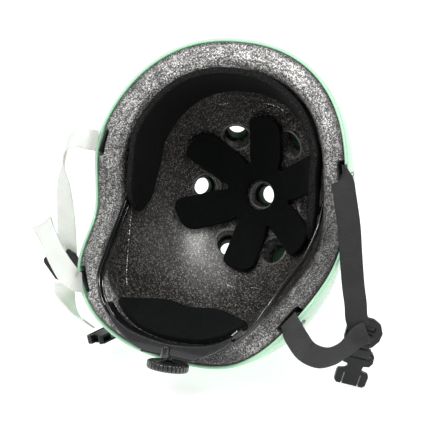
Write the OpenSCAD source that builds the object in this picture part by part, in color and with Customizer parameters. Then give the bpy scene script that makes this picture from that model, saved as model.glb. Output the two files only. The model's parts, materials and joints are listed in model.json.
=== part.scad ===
// Open-face multi-sport helmet: a moulded outer shell over a foam liner,
// hook-and-loop comfort pads, a dial-adjusted fit ring and a webbing harness
// with a side-release buckle.
//
// Helmet axes, before it is set down: +X is the wearer's left, +Y is the back
// of the head, +Z is the crown. The whole helmet is then leaned onto its back,
// with the brow up and the opening to the front (-Y), and the harness hangs
// straight down from it. The origin is the middle of the head opening.

/* [Shell] */
// Width of the outer shell
shell_w = 235; // [225:1:245]
// Length of the outer shell
shell_l = 275; // [265:1:285]
// Height of the crown above the opening
crown_h = 159; // [154:1:164]
// Wall of the outer shell
shell_t = 2.8; // [2.4:0.1:3.2]
// Radius of a vent inside its sleeve
vent_r = 8; // [7.5:0.1:9]
// Length of a vent sleeve
sleeve_len = 13; // [10:1:16]

/* [Liner] */
// Thickness of the foam at the rim
liner_t = 20; // [18:0.5:22]
// Height of the crown of the cavity
cavity_h = 134; // [130:1:137]
// Radius of the vent holes through the foam
liner_vent_r = 11; // [10.6:0.1:12.5]

/* [Pads] */
// Thickness of the comfort pads
pad_t = 6; // [5:0.5:7]
// Reach of one petal of the crown pad from its middle
petal_r = 69; // [62:1:72]
// Width of one petal
petal_w = 30; // [27:1:33]
// Height of the brow pad up the front wall
brow_h = 36; // [30:1:40]

/* [Fit ring] */
// Diameter of the dial
dial_d = 34; // [30:1:38]
// Thickness of the dial
dial_t = 7.5; // [6:0.5:9]
// Height of the ring's side arms
arm_h = 11; // [9:0.5:13]

/* [Harness] */
// Width of the webbing
web_w = 18; // [16:0.5:20]
// Thickness of the webbing
web_t = 1.6; // [1.4:0.1:1.8]

/* [Pose] */
// How far the helmet leans back onto its crown, in degrees
lean = 20; // [18:1:22]

/* [Hidden] */

mint = [0.80, 0.97, 0.85];
foam = [0.22, 0.21, 0.20];
padc = [0.09, 0.10, 0.10];
blk = [0.13, 0.13, 0.14];
web_black = [0.22, 0.22, 0.22];
web_pale = [0.93, 0.95, 0.93];
metal = [0.55, 0.53, 0.50];

// ---- the helmet's surfaces -------------------------------------------------
pn = 2.22;   // roundness of the plan
pm = 2.1;    // roundness of the dome
function sgnpow(v, k) = sign(v) * pow(abs(v), k);
// plan outline at heading a (0 = brow, 90 = wearer's left) for semi-axes ax, ay
function plan(a, ax, ay) = [ax * sgnpow(sin(a), 2/pn) * (1 + 0.014 * cos(2*a)),
                            -ay * sgnpow(cos(a), 2/pn)];
function wrap(a) = a - 360 * floor((a + 180) / 360);
function bump(a, m, s) = exp(-0.5 * pow(wrap(a - m) / s, 2));
// height of the rim: high brow, ear notch, low rear corners, nape arch
function rim_z(a) = 31.9 * cos(a) - 2.8 * cos(2*a)
  + 29 * (bump(a, 99, 11) + bump(a, -99, 11)) + 40.7 * bump(a, 180, 23);
// how far the liner's inner edge stands above its outer edge
function lip_z(a) = 5.6;
// angle up the dome of a point at height z, dome height h
function up_angle(z, h) = asin(sgnpow(max(-0.9, min(1, z / h)), pm/2));
function dome_pt(a, th, ax, ay, h) = let (q = plan(a, ax, ay), c = pow(max(0, cos(th)), 2/pm))
  [q.x * c, q.y * c, h * sgnpow(sin(th), 2/pm)];
// height of the dome over (x, y)
function dome_at(x, y, ax, ay, h) =
  let (q = pow(abs(x/ax), pn) + pow(abs(y/ay), pn)) h * pow(max(0.001, 1 - pow(q, pm/pn)), 1/pm);
function dome_n(x, y, ax, ay, h) = let (z = dome_at(x, y, ax, ay, h),
  v = [x/(ax*ax), y/(ay*ay), z/(h*h)]) v / norm(v);

sx = shell_w/2; sy = shell_l/2;             // shell, outside
fx = sx - shell_t - 0.3; fy = sy - shell_t - 0.3; fh = crown_h - shell_t - 0.3;   // foam, outside
cx = fx - liner_t; cy = fy - liner_t; ch = cavity_h;   // cavity

na = 96;   // facets round the helmet
function ring(z_of, ax, ay, h, k, n, low = 0) = [for (i = [0:na-1]) let (a = i*360/na,
    t0 = up_angle(z_of[i], h), th = t0 + (90 - t0) * k / n) dome_pt(a, th, ax, ay, h)];
rz = [for (i = [0:na-1]) rim_z(i*360/na)];
function flat1(v) = [for (r = v) for (p = r) p];
// skin a stack of closed rings with a pole at each end
function stack_faces(m, n) = concat(
  [for (j = [0:m-2]) for (i = [0:n-1]) [j*n+i, j*n+(i+1)%n, (j+1)*n+(i+1)%n, (j+1)*n+i]],
  [for (i = [0:n-1]) [m*n, (i+1)%n, i]],
  [for (i = [0:n-1]) [m*n+1, (m-1)*n+i, (m-1)*n+(i+1)%n]]);

// leans the helmet onto its back
module posed() { rotate([-(90 + lean), 0, 0]) children(); }
function wl(v) = [v.x, -sin(lean)*v.y + cos(lean)*v.z, -cos(lean)*v.y - sin(lean)*v.z];

// lays +Z along direction d
module along(d) { u = d / norm(d);
  rotate([0, acos(max(-1, min(1, u.z))), atan2(u.y, u.x)]) children(); }

vents = [[0, -8], [26, -57], [-26, -57], [49, -7], [-49, -7], [22, 40], [-22, 40]];
module at_vent(v) { z = dome_at(v.x, v.y, cx, cy, ch); n = dome_n(v.x, v.y, cx, cy, ch);
  translate([v.x, v.y, z]) along(n) children(); }

// where the webbing leaves the rim: heading, and its rivet above
exit_front = 77; exit_rear = 126;

module dome_shell() {
  no = 12;
  rings = concat([for (k = [no-1:-1:0]) ring(rz, sx, sy, crown_h, k, no)],
    [for (k = [0:no-1]) ring(rz, sx - shell_t, sy - shell_t, crown_h - shell_t, k, no)]);
  polyhedron(concat(flat1(rings), [[0, 0, crown_h], [0, 0, crown_h - shell_t]]),
    stack_faces(len(rings), na), convexity = 6);
}
module dome_core(ax, ay, h) {
  rings = concat([for (k = [11:-1:0]) ring(rz, ax, ay, h, k, 12)]);
  polyhedron(concat(flat1(rings), [[0, 0, h], [0, 0, 40]]), stack_faces(len(rings), na), convexity = 6);
}
// a rivet's place on the shell above a webbing exit
function rivet_pt(a, z) = let (t = up_angle(z, crown_h)) dome_pt(a, t, sx, sy, crown_h);
rivet_up = 17;
rivets = [for (a = [exit_front, exit_rear, -exit_front, -exit_rear]) [a, rim_z(a) + rivet_up]];
module at_rivet(r) { q = rivet_pt(r[0], r[1]); n = dome_n(q.x, q.y, sx + 0.01, sy + 0.01, crown_h);
  translate(q) along([q.x/(sx*sx), q.y/(sy*sy), q.z/(crown_h*crown_h)]) children(); }

module outer_shell() color(mint) posed() resize([0, 0, 0]) difference() {
  union() {
    dome_shell();
    intersection() {
      for (v = vents) at_vent(v) translate([0, 0, 25 - sleeve_len]) cylinder(h = 30, r = vent_r + 1.3, $fn = 36);
      dome_core(sx - 0.4, sy - 0.4, crown_h - 0.4);
    }
  }
  for (v = vents) at_vent(v) translate([0, 0, -5]) cylinder(h = 60, r = vent_r, $fn = 36);
  for (r = rivets) at_rivet(r) translate([0, 0, -8]) cylinder(h = 16, r = 2.1, $fn = 16);
}

// closed ring of the liner at rim level, j = 0 outside edge .. 4 inside edge
module eps_liner() color(foam) posed() resize([0, 0, 0]) difference() {
  no = 12; ni = 12;
  zi = [for (i = [0:na-1]) rz[i] + lip_z(i*360/na) + 4];
  low = [for (i = [0:na-1]) let (a = i*360/na, o = plan(a, fx - 3, fy - 3)) [o.x, o.y, rz[i] - 1.2 + 0.15*lip_z(a)]];
  mid = [for (i = [0:na-1]) let (a = i*360/na, o = plan(a, cx + 7, cy + 7)) [o.x, o.y, rz[i] - 1.8 + 0.7*lip_z(a)]];
  inn = [for (i = [0:na-1]) let (a = i*360/na, o = plan(a, cx + 2, cy + 2)) [o.x, o.y, rz[i] + lip_z(a)]];
  rings = concat([for (k = [no-1:-1:0]) ring([for (z = rz) z + 1.2], fx, fy, fh, k, no)],
    [low, mid, inn], [for (k = [0:ni-1]) ring(zi, cx, cy, ch, k, ni)]);
  polyhedron(concat(flat1(rings), [[0, 0, fh], [0, 0, ch]]), stack_faces(len(rings), na), convexity = 8);
  for (v = vents) at_vent(v) translate([0, 0, -8]) cylinder(h = 60, r = liner_vent_r, $fn = 36);
  // recess behind each webbing exit, open at the rim
  for (a = [exit_front, exit_rear, -exit_front, -exit_rear]) let (q = plan(a, fx, fy))
    translate([q.x, q.y, rim_z(a) + 8]) rotate([0, 0, recess_turn(a)]) cube([13, web_w + 6, 46], center = true);
  // pockets for the sockets of the fit ring
  for (s = [-1, 1]) translate([s*(cx - 10), pin_y, pin_z]) rotate([0, s*90, 0]) cylinder(h = 17, r = 4.7, $fn = 32);
}
function recess_turn(a) = let (p = plan(a - 2, fx, fy), q = plan(a + 2, fx, fy)) atan2(q.y - p.y, q.x - p.x) - 90;

// a four-sided face as two triangles
function halves(q) = [[q[0], q[1], q[2]], [q[0], q[2], q[3]]];
// ---- comfort pads ----------------------------------------------------------
petal_turn = 5;
function petal_edge(a) = let (b = abs(wrap(60 * ((a - petal_turn)/60 - round((a - petal_turn)/60)))),
    w = petal_w/2)
  // a straight-sided petal with a rounded tip, cut by its neighbours at the notch
  max(30.5, min(b < 0.01 ? 1000 : w / sin(b), petal_r - 5 * pow(b / 14, 3.4)));
function pad_pt(r, a, lift) = let (x = r * sin(a), y = -8 - r * cos(a),
    z = dome_at(x, y, cx - lift, cy - lift, ch - lift)) [x, y, z];
module crown_pad() color(padc) posed() {
  n = 120; rr = [0, 0.25, 0.5, 0.75, 0.94, 1];
  hub = 14.2;
  top = [for (f = rr) [for (i = [0:n-1]) let (a = i*360/n, e = petal_edge(a)) pad_pt(hub + (e - hub)*f, a, 2.2)]];
  bot = [for (f = rr) [for (i = [0:n-1]) let (a = i*360/n, e = petal_edge(a) - (f > 0.97 ? 1.2 : 0)) pad_pt(hub + (e - hub)*f, a, 2.2 + pad_t*(f > 0.97 ? 0.75 : f < 0.02 ? 0.8 : 1))]];
  rings = concat(top, [for (k = [len(rr)-1:-1:0]) bot[k]]);
  m = len(rings);
  polyhedron(flat1(rings), [for (j = [0:m-1]) for (i = [0:n-1])
    for (f = halves([j*n+i, j*n+(i+1)%n, ((j+1)%m)*n+(i+1)%n, ((j+1)%m)*n+i])) f], convexity = 8);
}

// a pad that lies along a wall: sections across it, from heading a0 to a1
function wall_pt(a, z, ax, ay, h) = dome_pt(a, up_angle(z, h), ax, ay, h);
module wall_pad(a0, a1, n, zlo, zhi, lifts, t) {
  // zlo, zhi, lifts: lists of n+1 heights and distances off the wall
  secs = [for (i = [0:n]) let (a = a0 + (a1 - a0)*i/n, l = zlo[i], u = zhi[i], lift = lifts[i], e = (i == 0 || i == n) ? 0.55 : 1)
    [wall_pt(a, l, cx - lift, cy - lift, ch - lift), wall_pt(a, (l+u)/2, cx - lift, cy - lift, ch - lift),
     wall_pt(a, u, cx - lift, cy - lift, ch - lift),
     wall_pt(a, u - 0.8, cx - lift - t*e*0.75, cy - lift - t*e*0.75, ch - lift - t*e*0.75),
     wall_pt(a, (l+u)/2 + (u-l)*0.28, cx - lift - t*e, cy - lift - t*e, ch - lift - t*e),
     wall_pt(a, (l+u)/2, cx - lift - t*e, cy - lift - t*e, ch - lift - t*e),
     wall_pt(a, (l+u)/2 - (u-l)*0.28, cx - lift - t*e, cy - lift - t*e, ch - lift - t*e),
     wall_pt(a, l + 0.8, cx - lift - t*e*0.8, cy - lift - t*e*0.8, ch - lift - t*e*0.8)]];
  m = 8;
  polyhedron(flat1(secs), concat([[for (k = [m-1:-1:0]) k]], [[for (k = [0:m-1]) n*m + k]],
    [for (i = [0:n-1]) for (k = [0:m-1]) for (f = halves([i*m+k, i*m+(k+1)%m, (i+1)*m+(k+1)%m, (i+1)*m+k])) f]), convexity = 8);
}
brow_n = 48;
brow_end = 100;
function ease(x, a, b) = let (t = max(0, min(1, (x - a)/(b - a)))) t*t*(3 - 2*t);
// edges of the brow pad: round lobes at its two ends, over the roots of the arms
function brow_lo(a) = let (b = abs(a)) 17 + 6*cos(a) + 9*ease(b, 70, 92) + 16*pow(max(0, b - 88)/12, 2);
function brow_hi(a) = let (b = abs(a)) 17 + 6*cos(a) + brow_h + 3 + 3*ease(b, 20, 80) - 7*pow(max(0, b - 88)/12, 2);
function brow_lift(a) = 2.2 + 3.6*ease(abs(a), 64, 78);
brow_as = [for (i = [0:brow_n]) -brow_end + 2*brow_end*i/brow_n];
module front_pad() color(padc) posed() wall_pad(-brow_end, brow_end, brow_n, [for (a = brow_as) brow_lo(a)],
  [for (a = brow_as) brow_hi(a)], [for (a = brow_as) brow_lift(a)], pad_t);

// hook-and-loop discs between the pads and the foam
function cavity_n(p) = let (s = pow(abs(p.x)/cx, pn) + pow(abs(p.y)/cy, pn), k = pow(max(s, 0.001), pm/pn - 1))
  -[k*sgnpow(p.x/cx, pn - 1)/cx, k*sgnpow(p.y/cy, pn - 1)/cy, pow(p.z/ch, pm - 1)/ch];
module on_cavity(x, y) { q = [x, y, dome_at(x, y, cx, cy, ch)]; translate(q) along(cavity_n(q)) children(); }
module pad_fasteners() color([0.16, 0.16, 0.16]) posed() {
  for (k = [0:5]) let (a = petal_turn + 60*k) on_cavity(50 * sin(a), -8 - 50 * cos(a)) translate([0, 0, 0.75]) cylinder(h = 0.7, r = 5.5, $fn = 24);
  for (a = [-70, -35, 0, 35, 70]) let (q = wall_pt(a, 40, cx, cy, ch)) translate(q)
    along(cavity_n(q)) translate([0, 0, 0.8]) cylinder(h = 0.7, r = 5.5, $fn = 24);
}

// ---- rivets and the sewn ends of the webbing ------------------------------
module shell_rivets() color(metal) posed() for (r = rivets) at_rivet(r) {
  translate([0, 0, -7.2]) cylinder(h = 7.6, r = 1.95, $fn = 32);
  translate([0, 0, 0.15]) rotate_extrude($fn = 40) polygon([[0, 0], [4.6, 0], [4.4, 0.6], [3.2, 1.2], [1.6, 1.5], [0, 1.6]]);
}
module rivet_washers() color(metal) posed() for (r = rivets) at_rivet(r)
  translate([0, 0, -6.85]) difference() { cylinder(h = 0.8, r = 5, $fn = 40); translate([0, 0, -1]) cylinder(h = 3, r = 2.05, $fn = 32); }
module webbing_anchors() color(web_black) posed() for (r = rivets) at_rivet(r) let (f = sign(r[0]))
  difference() {
    translate([0, 0, -5.2]) anchor_tab(r);
    translate([0, 0, -10]) cylinder(h = 12, r = 2.05, $fn = 32);
  }
// webbing tab, from above the rivet down to the rim
module anchor_tab(r) { translate([rivet_up/2 - 3 - 2.2, 0, 0]) cube([rivet_up + 6 - 1, web_w - 0.6, web_t], center = true); }

// ---- fit ring --------------------------------------------------------------
pin_y = -4; pin_z = 42; pin_x = 87.3;
// smooth a hand-set route with a Catmull-Rom curve, k steps a span
function crp(a, b, c, d, t) = 0.5 * ((2*b) + (c - a)*t + (2*a - 5*b + 4*c - d)*t*t + (3*b - a - 3*c + d)*t*t*t);
function smooth(r, k) = let (n = len(r)) concat([for (i = [0:n-2]) for (j = [0:k-1]) let (t = j/k,
    a = r[max(0, i-1)], b = r[i], c = r[i+1], d = r[min(n-1, i+2)]) [crp(a[0], b[0], c[0], d[0], t), crp(a[1], b[1], c[1], d[1], t)]], [r[n-1]]);
// sections of a flat band: each station is [point, width direction]
function band_secs(r, w, t) = [for (i = [0:len(r)-1]) let (p = r[i][0], d = (i == 0 ? r[1][0] - p : i == len(r)-1 ? p - r[i-1][0] : r[i+1][0] - r[i-1][0]),
    u = d / norm(d), w0 = r[i][1] - (r[i][1] * u) * u, v = w0 / norm(w0), n = cross(u, v))
  [p - v*w/2 - n*t/2, p + v*w/2 - n*t/2, p + v*w/2 + n*t/2, p - v*w/2 + n*t/2]];
module skin4(secs) { n = len(secs) - 1;
  polyhedron(flat1(secs), concat([[0, 1, 2, 3]], [[4*n+3, 4*n+2, 4*n+1, 4*n]],
    [for (i = [0:n-1]) for (k = [0:3]) for (f = [[(i+1)*4+k, (i+1)*4+(k+1)%4, i*4+(k+1)%4], [(i+1)*4+k, i*4+(k+1)%4, i*4+k]]) f]), convexity = 6); }
up = [0, 0, 1];
// centre line of an arm, from the temple to its end behind the ear
arm_route = [[[87.1, -12, 42], [-0.2, 0, 1]], [[87.2, -4, 42], [-0.2, 0, 1]], [[87, 9, 38.5], [-0.18, 0, 1]], [[86.2, 24, 29.5], [-0.1, 0, 1]], [[84.4, 38, 19], [-0.03, 0, 1]],
  [[79.5, 56, 0], up], [[74, 76, -18], up], [[66, 93, -23], up], [[54, 106, -24], up]];
band_route = [for (x = [[60, 94.5], [51, 104], [38, 111.5], [20, 116], [0, 117.6], [-20, 116], [-38, 111.5], [-51, 104], [-60, 94.5]]) [[x[0], x[1], -24], up]];
house_w = 22; house_y0 = 118.4; house_y1 = 127; house_z = -24; house_h = 17;
module arm_body() difference() {
  skin4(band_secs(smooth(arm_route, 4), arm_h, 1.6));
  translate([80, pin_y, pin_z]) rotate([0, 90, 0]) cylinder(h = 20, r = 2.3, $fn = 32);
}
module ring_arm_left() color(blk) posed() arm_body();
module ring_arm_right() color(blk) posed() mirror([1, 0, 0]) arm_body();
// the pad's seat: lower edge on the band, upper edge leaning in over the nape
function seat_lo(f) = [50*f, 116.2 - 7.5*f*f - 6*pow(f, 4), -20 + 3*f*f];
function seat_hi(f) = [50.5*f, 88 + 8*f*f - 6.4*pow(f, 4), 12 - 4*f*f - 8.5*pow(f, 4)];
function seat_n(f) = let (a = seat_hi(f) - seat_lo(f), b = seat_lo(f + 0.02) - seat_lo(f - 0.02), n = cross(b, a)) n / norm(n);
function seat_pt(f, t, d) = let (a = seat_lo(f), c = seat_hi(f)) a + (c - a)*t + seat_n(f)*(d - 9*t*(1 - t));
module seat_slab(f1, lo, hi, d0, d1, n) {
  // between depths d0 and d1 off the seat, from lo to hi of its height
  secs = [for (i = [0:n]) let (f = -f1 + 2*f1*i/n, k = pow(abs(f/f1), 8), l = lo + 0.12*k, u = hi - 0.2*k, g = (u - l), d = d1 - (d1 - d0)*0.3*k)
    [for (x = [[0, d0], [0.33, d0], [0.67, d0], [1, d0], [0.97, d0 + (d - d0)*0.7], [0.67, d], [0.33, d], [0.03, d0 + (d - d0)*0.7]]) seat_pt(f, l + g*x[0], x[1])]];
  m = 8;
  polyhedron(flat1(secs), concat([for (k = [1:m-2]) [0, k, k+1]], [for (k = [1:m-2]) [n*m, n*m+k+1, n*m+k]],
    [for (i = [0:n-1]) for (k = [0:m-1]) for (f = halves([(i+1)*m+k, (i+1)*m+(k+1)%m, i*m+(k+1)%m, i*m+k])) f]), convexity = 8);
}
// crescent outline of the housing, seen along the head's axis
house_out = [[50, 103.6], [53.5, 103.4], [52, 106.5], [44, 113.8], [36, 119.2], [29, 122.8], [22.5, 125.4], [-22.5, 125.4], [-29, 122.8], [-36, 119.2],
  [-44, 113.8], [-52, 106.5], [-53.5, 103.4], [-50, 103.6], [-38, 110.7], [-20, 115.3], [0, 116.9], [20, 115.3], [38, 110.7]];
module rear_cradle() color(blk) posed() {
  skin4(band_secs(smooth(band_route, 4), arm_h + 1, 2));
  difference() {
    union() {
      translate([0, 0, house_z - house_h/2]) linear_extrude(height = house_h) polygon(house_out);
      // boss under the dial
      translate([0, house_y0, house_z - house_h/2]) rotate([-90, 0, 0]) cylinder(h = 9.4, r = 3.6, $fn = 48);
    }
    translate([-house_w + 0.6, house_y0 + 1.4, house_z - house_h/2 + 1.4]) cube([2*house_w - 1.2, 20, house_h - 2.8]);
  }
  for (s = [-1, 1]) translate([s*(house_w - 3.4), house_y0 + 1, house_z]) rotate([-90, 0, 0])
    difference() { cylinder(h = house_y1 - 1.6 - house_y0 - 1, r = 2, $fn = 32); translate([0, 0, 2]) cylinder(h = 20, r = 0.85, $fn = 24); }
}
module cradle_yoke() color(blk) posed() seat_slab(0.8, 0.16, 0.8, -3.1, -1.3, 20);
module rear_pad() color(padc) posed() seat_slab(1.15, 0, 1, 0.2, 0.2 + pad_t, 28);
module housing_cover() color(blk) posed() difference() {
  translate([-house_w - 0.5, house_y1 - 1.6, house_z - house_h/2 + 1.6]) cube([2*house_w + 1, 1.6, house_h - 1.6]);
  translate([0, 0, house_z]) rotate([-90, 0, 0]) cylinder(h = 300, r = 3.35, $fn = 48);
  for (s = [-1, 1]) translate([s*(house_w - 3.4), 0, house_z]) rotate([-90, 0, 0]) cylinder(h = 300, r = 0.9, $fn = 24);
  translate([0, 100, house_z - house_h/2]) rotate([-90, 0, 0]) cylinder(h = 40, r = 3.8, $fn = 48);
}
module cover_screws() color(metal) posed() for (s = [-1, 1]) translate([s*(house_w - 3.4), house_y1, house_z]) rotate([-90, 0, 0]) {
  translate([0, 0, -4.2]) cylinder(h = 4.3, r = 0.85, $fn = 24);
  difference() { cylinder(h = 1, r = 1.9, $fn = 32); translate([-1.5, -0.25, 0.5]) cube([3, 0.5, 2]); }
}
// toothed bars drawn in from both sides by one lantern pinion
pitch_r = 3.2; tooth_n = 8; tooth_p = 2*PI*pitch_r/tooth_n; rack_len = 23; rack_y0 = house_y0 + 2; rack_w = 2.4;
module rack_bar(s) translate([0, rack_y0, house_z]) rotate([-90, 0, 0]) linear_extrude(height = rack_w)
  polygon(concat([[-3*s, -s*(pitch_r + 3)], [s*(rack_len - 3), -s*(pitch_r + 3)], [s*(rack_len - 3), -s*(pitch_r + 1.15)]],
    flat1([for (k = [7:-1:-1]) let (c = s*(k + 0.5)*tooth_p) [[c + s*0.62, -s*(pitch_r + 1.15)], [c + s*0.22, -s*(pitch_r - 0.75)], [c - s*0.22, -s*(pitch_r - 0.75)], [c - s*0.62, -s*(pitch_r + 1.15)]]]),
    [[-3*s, -s*(pitch_r + 1.15)]]));
module rack_left() color([0.75, 0.75, 0.76]) posed() rack_bar(1);
module rack_right() color([0.75, 0.75, 0.76]) posed() rack_bar(-1);
module dial_pinion() color([0.75, 0.75, 0.76]) posed() translate([0, rack_y0 - 0.3, house_z]) rotate([-90, 0, 0]) {
  for (k = [0:tooth_n-1]) rotate([0, 0, 360*k/tooth_n]) translate([pitch_r, 0, 0]) cylinder(h = rack_w + 0.9, r = 0.55, $fn = 20);
  translate([0, 0, rack_w + 0.5]) difference() { cylinder(h = 0.8, r = pitch_r + 0.95, $fn = 48); translate([0, 0, -1]) cylinder(h = 5, r = 1.2, $fn = 24); }
  difference() { cylinder(h = rack_w + 1, r = 2.2, $fn = 40); translate([0, 0, -1]) cylinder(h = 8, r = 1.2, $fn = 24); }
}
module dial_knob() color(blk) posed() translate([0, 0, house_z]) rotate([-90, 0, 0]) {
  translate([0, 0, rack_y0 - 0.3]) cylinder(h = 12, r = 1.2, $fn = 32);
  translate([0, 0, rack_y0 + rack_w + 1]) cylinder(h = 132 - rack_y0 - rack_w - 1, r = 3.27, $fn = 48);
  difference() {
    translate([0, 0, 130.6]) rotate_extrude($fn = 64) polygon([[0, 0], [5.5, 0], [dial_d/2 - 3.2, 2.2], [dial_d/2 - 1.2, 1.2], [dial_d/2 - 0.2, 1.8], [dial_d/2, 2.6],
      [dial_d/2, dial_t - 1.2], [dial_d/2 - 1.2, dial_t], [0, dial_t]]);
    for (k = [0:29]) rotate([0, 0, 12*k]) translate([dial_d/2 + 0.35, 0, 128]) cylinder(h = 20, r = 0.9, $fn = 16);
  }
}
// sockets moulded into the foam at the temples, and the ring's snap pins
module temple_sockets() color(blk) posed() for (s = [-1, 1]) translate([s*(pin_x + 2.4), pin_y, pin_z]) rotate([0, s*90, 0])
  difference() { cylinder(h = 10, r = 4.5, $fn = 40); translate([0, 0, -1]) cylinder(h = 9, r = 2.25, $fn = 32); }
module temple_pins() color(blk) posed() for (s = [-1, 1]) translate([s*pin_x, pin_y, pin_z]) rotate([0, s*90, 0]) {
  translate([0, 0, -2.4]) cylinder(h = 11.6, r = 2.2, $fn = 32);
  translate([0, 0, -2.8]) cylinder(h = 0.9, r = 3.4, $fn = 32);
}
// small bright spring clip where the left arm enters the cradle
module cradle_clip() color([0.92, 0.92, 0.93]) posed() translate([54.6, 97.9, -24]) rotate([0, 0, -46]) cube([6, 0.8, arm_h + 2.4], center = true);

// ---- harness, in the set-down frame: the webbing hangs along -Z -------------
// each route is a list of [point, direction across the webbing]
module web(r, k = 3) skin4(band_secs(smooth(r, k), web_w, web_t));
route_fr = [[[111.3, 22.5, 29], [0, 0.34, 0.94]], [[112, 14, 31], [0.1, 0.4, 0.9]], [[114.5, 4, 32.5], [0.3, 0.5, 0.8]], [[118, 0, 25], [0.55, 0.5, 0.65]],
  [[120.3, 1, 11], [0.8, 0.45, 0.3]], [[122, 5, -8], [0.9, 0.42, 0]], [[123.5, 8, -32], [0.9, 0.42, 0]], [[126, 9, -56], [0.9, 0.42, 0]],
  [[129.3, 7, -71], [0.9, 0.42, -0.1]], [[131, 4.8, -80.5], [0.88, 0.41, -0.2]], [[132.6, 5.0, -86.5], [0.87, 0.41, -0.25]], [[133.5, 5.1, -90], [0.87, 0.41, -0.27]]];
route_rr = [[[91.6, -43.2, -70.8], [0.155, 0.53, 0.83]], [[97.2, -50.2, -74.2], [0.28, 0.45, 0.8]], [[103, -53, -82], [0.45, 0.42, 0.75]], [[110, -50, -94], [0.5, 0.45, 0.7]],
  [[119, -40, -102], [0.4, 0.5, 0.75]], [[125.5, -25, -104], [0.2, 0.4, 0.9]], [[129.5, -11, -101.5], [0, 0.3, 0.95]], [[132.8, -1.5, -97.5], [-0.2, 0.1, 0.95]],
  [[137, 3.2, -94.8], [-0.3, 0, 0.93]], [[141, 4.8, -93], [-0.35, 0.05, 0.93]]];
route_fl = [[[-111.3, 22.5, 29], [0, 0.34, 0.94]], [[-116, 15, 32], [0, 0.45, 0.9]], [[-125, 11, 33], [-0.1, 0.65, 0.7]], [[-134, 11, 26], [-0.25, 0.8, 0.45]],
  [[-139, 13, 10], [-0.4, 0.85, -0.05]], [[-140.5, 13, -14], [-0.85, 0.3, 0]], [[-139, 12, -42], [-0.92, 0, 0]], [[-138.5, 10.5, -76], [-0.9, -0.3, 0]]];
route_rl = [[[-92, -43.5, -73.5], [-0.45, 0.3, 0.8]], [[-95.5, -50.5, -69], [-0.35, 0.35, 0.85]], [[-103, -52, -60], [-0.1, 0.3, 0.95]], [[-114, -49, -47], [0.2, 0.3, 0.93]],
  [[-125, -42, -35], [0.45, 0.3, 0.85]], [[-135, -32, -32], [0.7, 0.35, 0.6]], [[-142, -20, -41], [0.88, 0.42, 0.2]], [[-144, -9, -56], [0.9, 0.42, 0]], [[-141.5, -1, -71], [0.9, 0.42, 0]]];
module strap_front_right() color(web_black) web(route_fr);
module strap_rear_right() color(web_black) web(route_rr);
module strap_front_left() color(web_pale) web(route_fl);
module strap_rear_left() color(web_pale) web(route_rl);
module strap_chin_left() color(web_pale) web(route_cl);
route_cl = [[[-138, 3, -101.6], [-0.9, -0.3, 0]], [[-137.5, 1.5, -107], [-0.9, -0.35, 0.1]], [[-131, -5, -114], [-0.6, -0.6, 0.5]],
  [[-121, -13, -118.5], [-0.3, -0.7, 0.65]], [[-110, -20, -120.5], [-0.2, -0.7, 0.7]], [[-98, -24.5, -121], [-0.15, -0.7, 0.7]]];

// webbing slider, upright in its own XZ plane: two slots and a middle bar
module slider() difference() {
  rotate([90, 0, 0]) translate([0, 0, -2.2]) linear_extrude(height = 4.4) polygon([[-12, 12], [6, 13], [12.5, 10.5], [16.5, 4], [16.5, -3], [13, -10], [8, -13.3], [-8, -13], [-11.5, -9.5], [-12.8, 0], [-13.8, 9]]);
  for (z = [-6.8, 5]) translate([0, 0, z]) cube([web_w + 1.4, 10, 4.2], center = true);
}
sr_pos = [134.5, 9.8, -95.5]; sl_pos = [-140, 3.5, -84];
module slider_right() color(blk) translate(sr_pos) rotate([0, 20, 25]) slider();
module slider_left() color(blk) translate(sl_pos) rotate([0, -26, 15]) slider();
module slider_flap() rotate([90, 0, 0]) translate([0, 0, 2.6]) linear_extrude(height = 2) polygon([[-10, 0], [10, 0], [11, -3], [8, -6], [-8, -6], [-11, -3]]);
module slider_flap_right() color(blk) { translate(sr_pos) rotate([0, 20, 25]) slider_flap(); }

// side-release buckle, upright in its own XZ plane, tongue pointing down
bm_pos = [132.5, 9.5, -118.8];
module buckle_male() color(blk) translate(bm_pos) rotate([0, 15, 25]) {
  difference() {
    rotate([90, 0, 0]) translate([0, 0, -2.6]) linear_extrude(height = 5.2) polygon([[-11, 6], [11, 6], [12.5, 4], [13, -2], [11, -5.5], [6.6, -6.4], [-6.6, -6.4], [-11, -5.5], [-13, -2], [-12.5, 4]]);
    translate([0, 0, 1.6]) cube([web_w + 1, 10, 3.6], center = true);
    for (y = [-5, 1.5]) translate([-web_w/2 - 0.5, y, 2]) cube([web_w + 1, 3.5, 6]);
  }
  // waist and tongue plate, with a slit beside each prong
  difference() {
    rotate([90, 0, 0]) translate([0, 0, -2]) linear_extrude(height = 4) polygon([[-6.6, -6], [6.6, -6], [6, -10], [7.6, -11.6], [12.4, -12.8], [13.3, -15], [13, -23], [11, -25], [-11, -25], [-13, -23], [-13.3, -15], [-12.4, -12.8], [-7.6, -11.6], [-6, -10]]);
    for (x = [-6.8, 6.8]) translate([x, 0, -20.2]) cube([1, 10, 11], center = true);
  }
}
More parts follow.
